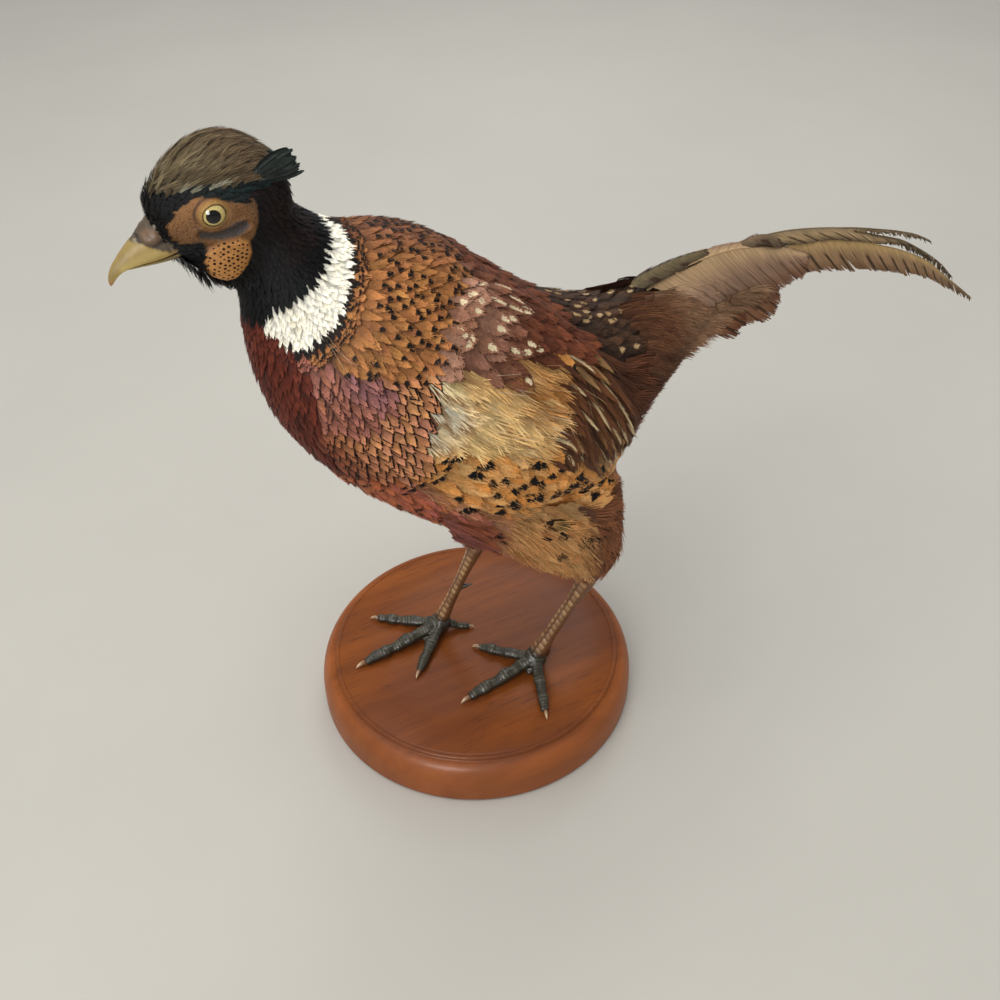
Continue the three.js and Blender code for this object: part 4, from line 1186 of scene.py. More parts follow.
def make_skirt():
    hem, top = smooth_rows(SKIRT_HEM, 8), smooth_rows(SKIRT_TOP, 8)
    top = on_skin(top)[0]

    def place(t, v):
        at = np.clip(t, -0.1, 1) * (len(hem) - 1)
        count = np.arange(len(hem))
        low = np.stack([np.interp(at, count, hem[:, k]) for k in range(3)], -1)
        high = np.stack([np.interp(at, count, top[:, k]) for k in range(3)], -1)
        spot = low + (high - low) * v[..., None]
        spot[..., 0] += 5 * np.sin(np.pi * np.clip(v, 0, 1))
        flat = spot.reshape(-1, 3)
        found, normal = on_skin(flat)
        flat = flat + normal * np.maximum(1.0 - dot(flat - found, normal), 0)[:, None]
        return flat.reshape(spot.shape)

    t, v = np.meshgrid(np.arange(0.08, 1.01, 0.042), np.array([0, 0.15, 0.3, 0.46, 0.62, 0.78, 0.94]))
    t = t.ravel() + dice.uniform(-0.02, 0.02, t.size)
    v = v.ravel() + dice.uniform(-0.04, 0.05, v.size)
    count = len(t)
    share = np.linspace(1, 0, 5)[None]
    across_hem = t[:, None] - 0.2 * share
    up_hem = v[:, None] + 0.34 * share ** 1.2
    path = place(across_hem, up_hem)
    step_t = place(across_hem + 0.02, up_hem) - path
    step_v = place(across_hem, up_hem + 0.04) - path
    normals = unit(np.cross(step_t, step_v))
    normals = np.where(normals[..., :1] < 0, -normals, normals)
    lies = unit(np.gradient(path, axis=1))
    lengths = np.linalg.norm(np.diff(path, axis=1), axis=2).sum(axis=1)
    tint = pick(count, colour(212, 156, 96), colour(186, 126, 72), colour(224, 176, 118))
    tint = blend(tint, pick(count, colour(168, 98, 68), colour(150, 96, 100), colour(150, 82, 52)), ramp(t, 0.5, 0.3))
    tint = blend(tint, pick(count, colour(226, 190, 136), colour(204, 160, 108)), ramp(v, 0.25, 0.05) * ramp(t, 0.5, 0.7))
    tint = blend(tint, pick(count, colour(132, 84, 56), colour(108, 66, 46)), ramp(t, 0.92, 1.0))
    tint = tint * speckle(count, 0.82, 1.14)
    barred = dice.random(count) < 0.34 * ramp(v, 0.2, 0.4)
    spot = np.stack([np.full(count, 0.86), np.where(barred, 0.11, 0), np.where(barred, 0.75, 0)], 1)
    trim = np.zeros((count, 3))
    colours = (tint, np.tile(colour(20, 17, 17), (count, 1)), tint * 0.7, spot, trim)
    widths = dice.uniform(4.2, 5.4, count)
    lifts = (dice.uniform(0.2, 0.5, count), dice.uniform(0.9, 1.8, count))
    rows = np.array([0, 0.25, 0.48, 0.66, 0.8, 0.92, 1.0])
    coat = Coat()
    paths = (path, normals, lies)
    coat.add(make_vanes(paths, lengths, widths, lifts, rows, np.array([-1, -0.55, 0, 0.55, 1.0]),
                        vane_outline(rows, 0.45, 1.7), 0.3, 0.16), path[:, 0], colours)
    coat.add(make_barbs(paths, widths, lifts, lambda at: vane_outline(at, 0.45, 1.7), 8, 0.36, 0.35), path[:, 0], colours)
    low = v < 0.8
    loose = tuple(part[low] for part in paths)
    lifted = (lifts[0][low] + 0.4, lifts[1][low] + 0.5)
    loose_colours = [part[low] for part in colours]
    loose_colours[0] = loose_colours[0] * dice.uniform(0.9, 1.3, (int(low.sum()), 1))
    coat.add(make_hairs(loose, lengths[low] * 1.08, widths[low], lifted, 8, 0.26, 0.7, 0.05), path[low, 0],
             loose_colours)
    coat.build("coat_skirt", vane_paint, "thigh_feather")


vane_paint = feather_paint("vane", 0.55, 0.03, 15.0, 0.42)
down_paint = feather_paint("down", 0.8, 0.05, 9.0, 0.3)
for tract_name, coat in grow_coat().items():
    paint = down_paint if TRACTS[tract_name][6] == "h" else vane_paint
    coat.build("coat_" + tract_name, paint, TRACT_SLOTS.get(tract_name, "body_feather"))

make_skirt()

# Where long pale hairs lie loose over the coat: from, to along the spine; from, to round the body; how many; length.
PLUME_PATCHES = ((52, 66, 54, 64, 7, 15, (236, 206, 172)), (112, 184, 36, 54, 42, 17, (255, 240, 208)),
                 (126, 205, 56, 76, 80, 16, (244, 206, 150)), (150, 200, 28, 36, 14, 17, (226, 190, 140)))

# A small parting on the left thigh, with dark brown hairs in it as painted shade for the hollow and a fan of pale hairs
# over it: count, length, half width, hairs, lift, tone.
HOLLOW = np.array([66.0, 12, 176])
HOLLOW_HALF = 3.8
HOLLOW_LAYERS = ((30, 9, 2.2, 8, 2.6, (64, 46, 30)), (1, 15, 4.4, 8, 4.0, (226, 178, 108)))


def make_plumes():
    _, along, round_, _ = body_place(skin_points)
    coat = Coat()
    for low, high, top, bottom, number, reach, tone in PLUME_PATCHES:
        near = (along > low) & (along < high) & (round_ > top) & (round_ < bottom) & (skin_points[:, 2] < 330)
        roots = skin_points[dice.choice(np.flatnonzero(near), number)]
        lengths = reach * dice.uniform(0.7, 1.2, number)
        paths = trace(roots, lengths, 4, dice.normal(0.1, 0.25, number))
        tint = np.tile(colour(*tone), (number, 1)) * speckle(number, 0.8, 1.1)
        blank = np.zeros((number, 3))
        lifts = (dice.uniform(1.8, 2.6, number), dice.uniform(2.6, 3.8, number))
        coat.add(make_hairs(paths, lengths, np.full(number, 2.0), lifts, 1, 0.1, 0, 0.03), roots,
                 (tint, blank, tint, blank, blank))
    for number, reach, width, strands, lift, tone in HOLLOW_LAYERS:
        roots = HOLLOW + dice.uniform(-1, 1, (number, 3)) * [1, HOLLOW_HALF, HOLLOW_HALF] * (number > 1)
        lengths = reach * dice.uniform(0.85, 1.1, number)
        tint = np.tile(colour(*tone), (number, 1)) * speckle(number, 0.75, 1.15)
        blank = np.zeros((number, 3))
        lifts = (np.full(number, lift), np.full(number, lift + 0.6))
        coat.add(make_hairs(trace(roots, lengths, 4, dice.normal(0, 0.2, number)), lengths, np.full(number, width),
                            lifts, strands, 0.2, 0.9, 0.04), roots, (tint, blank, tint, blank, blank))
    coat.build("coat_plumes", down_paint, "body_feather")


make_plumes()

# ---------------------------------------------------------------- skin piece and its colours

def skin_colours(points):
    tract, place, _ = tract_at(points)
    tint = np.zeros((len(points), 3))
    for index, name in enumerate(TRACT_ORDER):
        chosen = tract == index
        if chosen.any():
            # Painted shade: under the coat the skin takes its tract's mean colour darkened, as shade between the
            # feathers; less under the pale collar, cream and silver.
            under = 0.75 if name == "collar" else 0.6 if name in ("cream", "silver") else 0.42
            tint[chosen] = tract_colours(name, points[chosen], place[chosen])[0].mean(axis=0) * under
    head = to_head(points)
    flat = head[:, 1:]
    bare = face_bareness(points)
    wattle = ramp(inside(flat, WATTLE_OUTLINE), -1, 1.5)
    orange = blend(np.tile(colour(120, 82, 46), (len(points), 1)), colour(148, 102, 58), ramp(head[:, 2], -3, 7))
    orange = blend(orange, colour(190, 132, 72), wattle)
    orange = blend(orange, colour(112, 80, 52), ramp(flat[:, 0], 10, 15))
    orange = blend(orange, colour(60, 54, 50), ramp(flat[:, 1], -5, -10) * ramp(-flat[:, 0], 8, 11) * (1 - wattle))
    from_eye = head - EYE_CENTRE * np.where(head[:, :1] < 0, [[-1, 1, 1]], [[1, 1, 1]])
    opening = np.hypot(from_eye[:, 1] / LID_HALF[0], from_eye[:, 2] / LID_HALF[1])
    orange = blend(orange, colour(172, 134, 76), ramp(opening, 1.5, 1.2) * 0.8)
    above = ramp(from_eye[:, 2], -1.5, 1.5) * ramp(from_eye[:, 1] - from_eye[:, 2], 9, 3)
    orange = blend(orange, colour(74, 48, 30), ramp(np.abs(opening - 1.62), 0.17, 0.03) * above * 0.85)
    orange = blend(orange, colour(52, 36, 24), ramp(opening, 1.13, 1.0))
    crescent = inside(flat, CRESCENT_OUTLINE)
    orange = blend(orange, colour(62, 58, 58), ramp(crescent, -0.9, 0.1) * 0.92)
    lower_lid = np.abs(opening - 1.85) + 10 * (from_eye[:, 2] > -1) + 10 * (from_eye[:, 1] > 4)
    orange = blend(orange, colour(84, 62, 46), ramp(lower_lid, 0.13, 0.03) * 0.7)
    return tint * (1 - bare[:, None]) + orange * bare[:, None]


skin = new_piece("skin", skin_points, skin_faces, skin_paint(),
                 {"tint": skin_colours(skin_points)}, skin_map(skin_points))
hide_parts(*FLESH_NODES)

# ---------------------------------------------------------------- horn, glass, scale and wood


def sweep(centres, half_across, half_up, sides, up=(0, 0, 1.0)):
    """Oval rings round a line of points: (rows, sides, 3), with the ring's angle starting across."""
    run = unit(np.gradient(centres, axis=0))
    across = unit(np.cross(run, np.broadcast_to(np.asarray(up, float), run.shape)))
    over = np.cross(across, run)
    turn = np.arange(sides) / sides * 2 * math.pi
    return (centres[:, None] + across[:, None] * (np.cos(turn)[None] * half_across[:, None])[..., None]
            + over[:, None] * (np.sin(turn)[None] * half_up[:, None])[..., None])


def ring_piece(name, rings, material, tint, replaced):
    """A piece from (rows, sides, 3) rings and their colours, standing in for CAD nodes."""
    rows, sides = rings.shape[:2]
    piece = new_piece(name, rings.reshape(-1, 3), grid_faces(rows, sides, True), material,
                      {"tint": np.asarray(tint).reshape(-1, 3)})
    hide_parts(*replaced)
    return piece


def make_base():
    bead = [(92.0, 27.6), (91.3, 27.8), (91.1, 28.3), (90.9, 29.2), (90.3, 29.85), (89.6, 30.0), (88.9, 29.85),
            (88.5, 29.35), (88.2, 29.3), (87.8, 29.7), (87.2, 30.0), (60, 30), (30, 30), (0.01, 30)]
    moulding = [(92 + 8 * math.cos(math.radians(turn)), 12 + 15.5 * math.sin(math.radians(turn)))
                for turn in range(0, 90, 6)]
    profile = [(0.01, 0), (95, 0), (98.6, 0.5), (99.8, 1.6), (100, 3.2), (100, 8), *moulding, *bead]
    turn = np.arange(BASE_SEGMENTS) / BASE_SEGMENTS * 2 * math.pi
    radius = np.array([row[0] for row in profile])[:, None] * BASE_RADIUS / 100
    height = np.array([row[1] for row in profile])[:, None] * BASE_HEIGHT / 30
    rings = np.stack([radius * np.cos(turn), radius * np.sin(turn), height + 0 * turn[None]], 2)
    ring_piece("base_turned", rings, wood_paint(), np.tile(colour(110, 60, 34), rings.shape[:2] + (1,)),
               ["base"])


BASE_SEGMENTS = 180
make_base()

# Bill rows: back, half width, ridge, cutting edge, in the head's frame.
UPPER_BILL = ((-12, 8.4, 5.6, -11.2), (-19, 8.3, 5.9, -11.0), (-22, 7.9, 5.4, -10.9), (-26, 7.2, 4.0, -10.5),
              (-30, 6.4, 2.4, -9.7), (-34, 5.4, 1.2, -8.6), (-38.8, 4.2, -0.7, -7.8), (-42.6, 3.1, -2.5, -7.7),
              (-45.6, 2.2, -4.1, -8.5), (-48.1, 1.4, -6.2, -9.9), (-49.8, 0.7, -8.6, -10.9), (-50.3, 0.15, -10.2, -10.9))
LOWER_BILL = ((-12, 7.6, -11.0, -16), (-20, 7.0, -10.9, -15), (-26, 5.8, -10.5, -13.4), (-31, 4.6, -9.6, -11.9),
              (-36, 3.2, -8.6, -10.2), (-40, 1.9, -8.0, -9.0), (-42.5, 0.4, -7.9, -8.3))
HORN_LINE = ((-33.6, 1.6), (-30, -0.5), (-28.5, -2.8), (-25.7, -5.7), (-22.2, -8.9), (-16, -11.4))
NOSTRIL = np.array([-25.4, 0.6])


def mandible(rows, waist, steps=9, sides=56, squareness=0.86):
    rows = smooth_rows(rows, steps)
    turn = np.arange(sides) / sides * 2 * math.pi
    swing = np.sign(np.cos(turn)) * np.abs(np.cos(turn)) ** squareness
    rise = np.sin(turn)[None]
    back, half, top, bottom = (rows[:, k:k + 1] for k in range(4))
    level = bottom + (top - bottom) * waist
    up = level + np.where(rise > 0, (top - level) * np.abs(rise) ** 0.95, (bottom - level) * np.abs(rise))
    return np.stack([half * swing[None], back + 0 * up, up], 2)


def make_bill():
    horn = plain_paint("horn", 0.5, 420.0, 0.22, 0.25, (1, 1, 1), Specular_IOR_Level=0.25, Coat_Weight=0.04,
                       Coat_Roughness=0.3)
    upper = mandible(UPPER_BILL, 0.1)
    left, back, up = upper[..., 0], upper[..., 1], upper[..., 2]
    line = np.asarray(HORN_LINE)
    cere = back - np.interp(up.ravel(), line[::-1, 1], line[::-1, 0]).reshape(up.shape)
    above_edge = np.clip((up + 10.5) / 3, 0, 1)
    soft = ramp(cere, -0.5, 0.9) * above_edge
    flaps = np.hypot((back - NOSTRIL[0]) / 4.3, (up - NOSTRIL[1]) / 3.4)
    bump = 1.2 * ramp(flaps, 1.05, 0.35) - 0.5 * np.exp(-((flaps - 1.16) / 0.14) ** 2) * (up < NOSTRIL[1] + 2.4)
    rough = dice.normal(0, 1, up.shape)
    for _ in range(2):
        rough = (rough + np.roll(rough, 1, 1) + np.roll(rough, -1, 1)
                 + np.roll(rough, 1, 0) + np.roll(rough, -1, 0)) / 3.4
    side = np.sign(left) * ramp(np.abs(left), 0.5, 3.0)
    upper[..., 0] += side * soft * (0.35 + bump + 0.12 * rough)
    upper[..., 2] += soft * ramp(up, 1.5, 4) * (0.3 + 0.15 * rough)
    upper[..., 2] += 0.18 * rough * soft
    tint = np.tile(colour(170, 142, 76), up.shape + (1,))
    tint = blend(tint, colour(196, 172, 106), ramp(np.abs(up + 6), 3.0, 0.5) * ramp(back, -47, -42) * 0.8)
    tint = blend(tint, colour(146, 126, 78), ramp(up - np.interp(back, (-50, -34), (-10, -1)), -1.0, 2.6) * 0.7)
    tint = blend(tint, colour(166, 112, 78), ramp(-up, 7.6, 10.2) * ramp(-back, 42, 47) * 0.85)
    fleshy = blend(np.tile(colour(92, 78, 62), up.shape + (1,)), colour(120, 94, 72), ramp(flaps, 1.0, 0.6))
    flakes = (rough > 0.55) & (flaps > 0.85)
    fleshy = blend(fleshy, colour(150, 138, 114), flakes * 0.8)
    fleshy = blend(fleshy, colour(84, 72, 60), ramp(np.abs(left), 2.6, 0.8) * 0.7)
    fleshy = blend(fleshy, colour(52, 42, 36), ramp(np.abs(flaps - 1.13), 0.15, 0.04) * (up < NOSTRIL[1] + 2))
    tint = blend(tint, fleshy, soft)
    tint = blend(tint, colour(150, 104, 72), ramp(-up, 8.8, 10.4) * ramp(back, -28, -22))
    ring_piece("bill_upper_shaped", from_head(upper), horn, tint, ["bill_upper"])

    lower = mandible(LOWER_BILL, 0.85)
    shade = ramp(lower[..., 2], -13, -9)
    tint = blend(np.tile(colour(112, 98, 62), shade.shape + (1,)), colour(168, 148, 92), shade)
    ring_piece("bill_lower_shaped", from_head(lower), horn, tint, ["bill_lower"])


make_bill()

# ---------------------------------------------------------------- eyes

PUPIL_TURN = math.asin(2.85 / EYE_RADIUS)
IRIS_TURN = math.asin(4.75 / EYE_RADIUS)


def make_eye(side, sign):
    """A glass eye: black pupil, pale yellow iris, looking out and a little forwards."""
    glass = plain_paint("glass_" + side, 0.12, 900.0, 0.05, 0.0, Specular_IOR_Level=0.0, Coat_Weight=1.0,
                        Coat_Roughness=0.02, Coat_IOR=1.45)
    away = np.concatenate([np.linspace(0, PUPIL_TURN, 14), np.linspace(PUPIL_TURN + 0.012, IRIS_TURN, 16),
                           np.linspace(IRIS_TURN + 0.02, math.pi, 18)])
    turn = np.arange(80) / 80 * 2 * math.pi
    axis = unit(np.array([1.0, -0.13, 0.03]))
    ahead = unit(np.cross([0, 0, 1.0], axis))
    over = np.cross(axis, ahead)
    ring = ahead[None] * np.cos(turn)[:, None] + over[None] * np.sin(turn)[:, None]
    ball = axis * np.cos(away)[:, None, None] + ring[None] * np.sin(away)[:, None, None]
    ball = EYE_CENTRE + ball * EYE_RADIUS
    fibre = dice.uniform(0, 1, len(turn))[None]
    deep = np.clip((away - PUPIL_TURN) / (IRIS_TURN - PUPIL_TURN), 0, 1)[:, None]
    tint = blend(np.tile(colour(206, 180, 106), ball.shape[:2] + (1,)), colour(232, 218, 150), 0.5 * fibre + 0.3 * deep)
    tint = blend(tint, colour(120, 92, 44), ramp(deep + 0 * fibre, 0.12, 0.0) * 0.7)
    tint = blend(tint, colour(60, 42, 24), ramp(away, IRIS_TURN - 0.05, IRIS_TURN + 0.05)[:, None] + 0 * fibre)
    tint = blend(tint, colour(5, 5, 6), (away <= PUPIL_TURN + 0.006)[:, None] * np.ones_like(fibre))
    ball[..., 0] *= sign
    ring_piece("glass_eye_" + side, from_head(ball), glass, tint, ["eye_" + side])


make_eye("L", 1)
make_eye("R", -1)

# ---------------------------------------------------------------- legs and feet

# Ankle, foot pad, toe tips (x, y) and the spur's reach, as the CAD legs have them.
LEGS = {
    "L": {"ankle": (49.1, 49.6, 101), "pad": (36.6, 21, 38.5), "spur": (-6, 9, 2), "girth": 1.2,
          "toes": {"middle": (37.3, -34.8), "inner": (1.8, -4.1), "outer": (76.9, 1.8), "hind": (27, 41)}},
    "R": {"ankle": (-10.7, 8.2, 101), "pad": (-22.7, -12.9, 38.5), "spur": (6, 9, 2), "girth": 1.06,
          "toes": {"middle": (-23.9, -75), "inner": (4.7, -47.6), "outer": (-57, -46.7), "hind": (-11.5, 6.5)}},
}
TOE_RADII = {"middle": 4.3, "inner": 3.8, "outer": 3.8, "hind": 2.8}


def make_shank(side, leg, scale):
    """The bare tarsus: two columns of large scutes in front, small scales behind."""
    ankle, pad = np.array(leg["ankle"], float), np.array(leg["pad"], float)
    length = np.linalg.norm(pad - ankle)
    along = np.arange(-7, length + 1.5, 0.36)
    share = along / length
    centres = ankle + (pad - ankle) * share[:, None]
    radius = np.interp(share, (-0.12, 0, 0.12, 0.35, 0.7, 0.88, 1.0), (4.2, 4.7, 4.0, 3.15, 3.3, 4.2, 4.6))
    radius = radius * leg["girth"]
    sides = 48
    rings = sweep(centres, radius, radius, sides, (0, -1.0, 0.2))
    turn = np.arange(sides) / sides * 2 * math.pi
    front = np.sin(turn) * 1.0
    ahead = np.arctan2(np.cos(turn), front) / math.pi
    big = (np.abs(ahead) < 0.36)[None]
    column = (ahead > 0)[None]
    place = along[:, None] / 4.3 + 0.5 * column
    phase = (place + 0.12 * np.cos(ahead * 9)[None]) % 1
    plate = np.minimum(phase, 0.18) / 0.18 * (1 - 0.35 * phase)
    groove = np.minimum(np.abs(ahead), np.abs(np.abs(ahead) - 0.36))[None] * 3.14 * 3.3
    plate = plate * ramp(groove, 0.1, 0.55)
    cell_row = np.floor(along / 1.9)[:, None]
    small_up = np.abs((along[:, None] / 1.9) % 1 - 0.5) * 2
    small_side = np.abs((ahead[None] * 10.0 + 0.5 * (cell_row % 2)) % 1 - 0.5) * 2
    small = ramp(np.maximum(small_up, small_side), 0.98, 0.6)
    height = np.where(big, plate, small * 0.6)
    normal = unit(rings - centres[:, None])
    rings = rings + normal * (height * 0.42 - 0.2)[..., None]
    dark = colour(62, 46, 34)
    base = blend(np.tile(colour(134, 88, 52), height.shape + (1,)), colour(206, 168, 116), ramp(height, 0.6, 0.95))
    patchy = dice.uniform(0, 1, (40, 2))[np.clip(np.floor(place).astype(int) + 3, 0, 39), column * 1]
    base = blend(base, colour(118, 76, 44), patchy * 0.75)
    tint = blend(base, dark, ramp(height, 0.45, 0.05) * 0.75)
    tint = blend(tint, colour(38, 40, 34), ramp(share, 0.84, 0.97)[:, None] * np.ones((1, sides)))
    ring_piece("shank_" + side, rings, scale, tint, ["tarsus_" + side])


def toe_path(pad, tip, radius, hind):
    """Rows of x, y, z and radius from the pad to the claw's root, and the share where the claw starts."""
    length = math.hypot(tip[0] - pad[0], tip[1] - pad[1])
    end = 1 - (0.1 + 4 / length) * 0.68
    lift = 8 if hind else 4
    share = np.array([0, 0.18, 0.33, 0.45, 0.56, 0.66, 0.78, 0.9, 1.0]) * end
    size = radius * np.array([1.0, 0.95, 0.84, 1.0, 0.84, 0.78, 0.92, 0.74, 0.6])
    raised = lift * np.array([1.0, 0.66, 0.42, 0.26, 0.12, 0.04, 0.01, 0.01, 0.0])
    x = pad[0] + (tip[0] - pad[0]) * share
    y = pad[1] + (tip[1] - pad[1]) * share
    rows = np.stack([x, y, BASE_HEIGHT + 0.3 + size * 0.86 + raised, size], 1)
    return smooth_rows(rows, 8), end, length


def melt(name, shells, voxel):
    """One voxel surface of several closed shells, given as ring arrays."""
    mesh = bpy.data.meshes.new(name)
    points, faces, total = [], [], 0
    for rings in shells:
        rows, sides = rings.shape[:2]
        faces += (grid_faces(rows, sides, True) + total).tolist()
        faces += [[total + k for k in range(sides)][::-1], [total + (rows - 1) * sides + k for k in range(sides)]]
        points.append(rings.reshape(-1, 3))
        total += rows * sides
    mesh.from_pydata((np.concatenate(points) * MM).tolist(), [], faces)
    piece = bpy.data.objects.new(name, mesh)
    bpy.context.scene.collection.objects.link(piece)
    remesh = piece.modifiers.new("remesh", "REMESH")
    remesh.mode = "VOXEL"
    remesh.voxel_size = voxel * MM
    result = bpy.data.meshes.new_from_object(piece.evaluated_get(bpy.context.evaluated_depsgraph_get()))
    bpy.data.objects.remove(piece)
    points, edges = mesh_arrays(result)
    return points, edges, face_array(result)


def make_foot(side, leg, scale, claw_horn):
    pad = np.array(leg["pad"], float)
    paths, shells = {}, []
    for name, tip in leg["toes"].items():
        rows, end, length = toe_path(pad, tip, TOE_RADII[name], name == "hind")
        paths[name] = rows
        tapered = np.concatenate([rows[:, 3], [rows[-1, 3] * 0.75, rows[-1, 3] * 0.3]])
        step = rows[-1, :3] - rows[-2, :3]
        centres = np.concatenate([rows[:, :3], [rows[-1, :3] + step * 0.6], [rows[-1, :3] + step * 0.9]])
        shells.append(sweep(centres, tapered, tapered * 0.86, 20))
    turn = np.linspace(0.02, math.pi - 0.02, 16)
    ball = pad + np.array([0, 0, -1.2]) + np.stack([0 * turn, 0 * turn, -6.6 * np.cos(turn)], 1)
    shells.append(sweep(ball, 7.0 * np.sin(turn), 7.0 * np.sin(turn), 24, (0, 1, 0)))
    for pair in (("inner", "middle"), ("middle", "outer")):
        a, b = (paths[name] for name in pair)
        reach = 20
        middle = (a[:reach, :3] + b[:reach, :3]) / 2
        spread = np.linalg.norm(a[:reach, :3] - b[:reach, :3], axis=1)
        keep = spread < 12.5
        middle, spread = middle[keep], spread[keep]
        if len(middle) > 3:
            middle[:, 2] = BASE_HEIGHT + 1.6 + 4.5 * np.linspace(1, 0, len(middle)) ** 1.5
            fade = np.linspace(1, 0.3, len(middle))
            shells.append(sweep(middle, np.maximum(spread / 2, 1.0) * fade + 0.3, 2.0 * fade + 0.2, 16))
    points, edges, faces = melt("foot_melt", shells, 0.62)
    points = smooth_points(points, edges, 2, np.full(len(points), 0.4))
    nearest = np.full(len(points), 1e9)
    along = np.zeros(len(points))
    number = np.zeros(len(points), int)
    for index, rows in enumerate(paths.values()):
        centres = rows[:, :3]
        walked = np.concatenate([[0], np.cumsum(np.linalg.norm(np.diff(centres, axis=0), axis=1))])
        away = np.linalg.norm(points[:, None] - centres[None], axis=2) - rows[None, :, 3]
        best = away.argmin(axis=1)
        reach = away[np.arange(len(points)), best]
        run = unit(np.gradient(centres, axis=0))
        place = walked[best] + dot(points - centres[best], run[best])
        closer = reach < nearest
        nearest = np.where(closer, reach, nearest)
        along = np.where(closer, place, along)
        number = np.where(closer, index, number)
    normals = vertex_normals(points, faces)
    upper = ramp(normals[:, 2], 0.1, 0.6)
    scute = (along / 2.0) % 1
    ridge = ramp(scute, 0, 0.22) * (1 - 0.45 * scute)
    knob = 0.5 + 0.5 * np.sin(points[:, 0] * 3.3) * np.sin(points[:, 1] * 3.1) * np.sin(points[:, 2] * 3.7)
    height = upper * ridge + (1 - upper) * knob
    lump = np.sin(points[:, 0] * 0.9 + 1) * np.sin(points[:, 1] * 0.8) + np.sin(points[:, 0] * 0.45 + points[:, 1] * 0.6)
    points = points + normals * (height * 0.5 - 0.26 + 0.22 * lump)[:, None]
    points[:, 2] = np.maximum(points[:, 2], BASE_HEIGHT + 0.12)
    tint = blend(np.tile(colour(46, 44, 35), (len(points), 1)), colour(92, 88, 68), ramp(height, 0.55, 1.0) * 0.6)
    tint = blend(tint, colour(20, 20, 18), ramp(height, 0.35, 0.05) * 0.8)
    # Pale flaking and painted highlight: chosen scutes are painted lighter on their raised, upward faces.
    pale_flakes_and_highlights = dice.random(400)[(np.floor(along / 2.0).astype(int) + number * 90) % 400]
    tint = blend(tint, colour(110, 104, 86), (pale_flakes_and_highlights > 0.72) * upper * ramp(height, 0.5, 0.9) * 0.5)
    tint = blend(tint, colour(92, 76, 54), ramp(points[:, 2], 43, 47) * 0.5)
    foot = new_piece("foot_" + side, points, faces, scale, {"tint": tint})
    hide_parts(*[f"toe_{name}_{side}" for name in leg["toes"]])

    claws, tints = [], []
    for name, tip in leg["toes"].items():
        rows = paths[name]
        root, step = rows[-1, :3], unit(rows[-1, :3] - rows[-3, :3])
        reach = math.hypot(tip[0] - root[0], tip[1] - root[1])
        share = np.linspace(-0.22, 1, 15)
        size = rows[-1, 3] * 0.7 * np.sqrt(np.clip(1 - np.clip(share, 0, 1) ** 1.4, 0.002, 1))
        centres = root + step * (share * reach)[:, None]
        centres[:, 2] = BASE_HEIGHT + 0.25 + size * 0.9 + 1.0 * np.sin(np.clip(share, 0, 1) * math.pi)
        claws.append(sweep(centres, size * 0.8, size, 16))
        shade = blend(np.tile(colour(126, 92, 66), (15, 16, 1)), colour(206, 172, 132), ramp(share, 0.1, 0.85)[:, None] + np.zeros((1, 16)))
        tints.append(shade)
    faces = np.concatenate([grid_faces(15, 16, True) + i * 15 * 16 for i in range(len(claws))])
    piece = new_piece("claws_" + side, np.concatenate([c.reshape(-1, 3) for c in claws]), faces, claw_horn,
                      {"tint": np.concatenate([t.reshape(-1, 3) for t in tints])})
    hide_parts(*[f"claw_{name}_{side}" for name in leg["toes"]])

    root = np.array(leg["ankle"]) + (pad - np.array(leg["ankle"])) * 0.52
    share = np.linspace(0, 1, 14)
    centres = root + np.array(leg["spur"], float) * share[:, None] + np.array([0, 0, 1.2]) * (share ** 2)[:, None]
    size = 2.5 * (1 - share ** 1.15) + 0.12
    tint = blend(np.tile(colour(40, 40, 32), (14, 16, 1)), colour(74, 66, 50), share[:, None] + np.zeros((1, 16)))
    ring_piece("spur_cone_" + side, sweep(centres, size, size, 16), claw_horn, tint, ["spur_" + side])


def make_legs():
    scale = plain_paint("scale", 0.4, 700.0, 0.22, 0.35, Specular_IOR_Level=0.5)
    toe_scale = plain_paint("toe_scale", 0.38, 600.0, 0.25, 0.5, Specular_IOR_Level=0.45)
    claw_horn = plain_paint("claw", 0.35, 500.0, 0.12, 0.15, Specular_IOR_Level=0.5)
    for side, leg in LEGS.items():
        make_shank(side, leg, scale)
        make_foot(side, leg, toe_scale, claw_horn)


make_legs()

# ---------------------------------------------------------------- tail

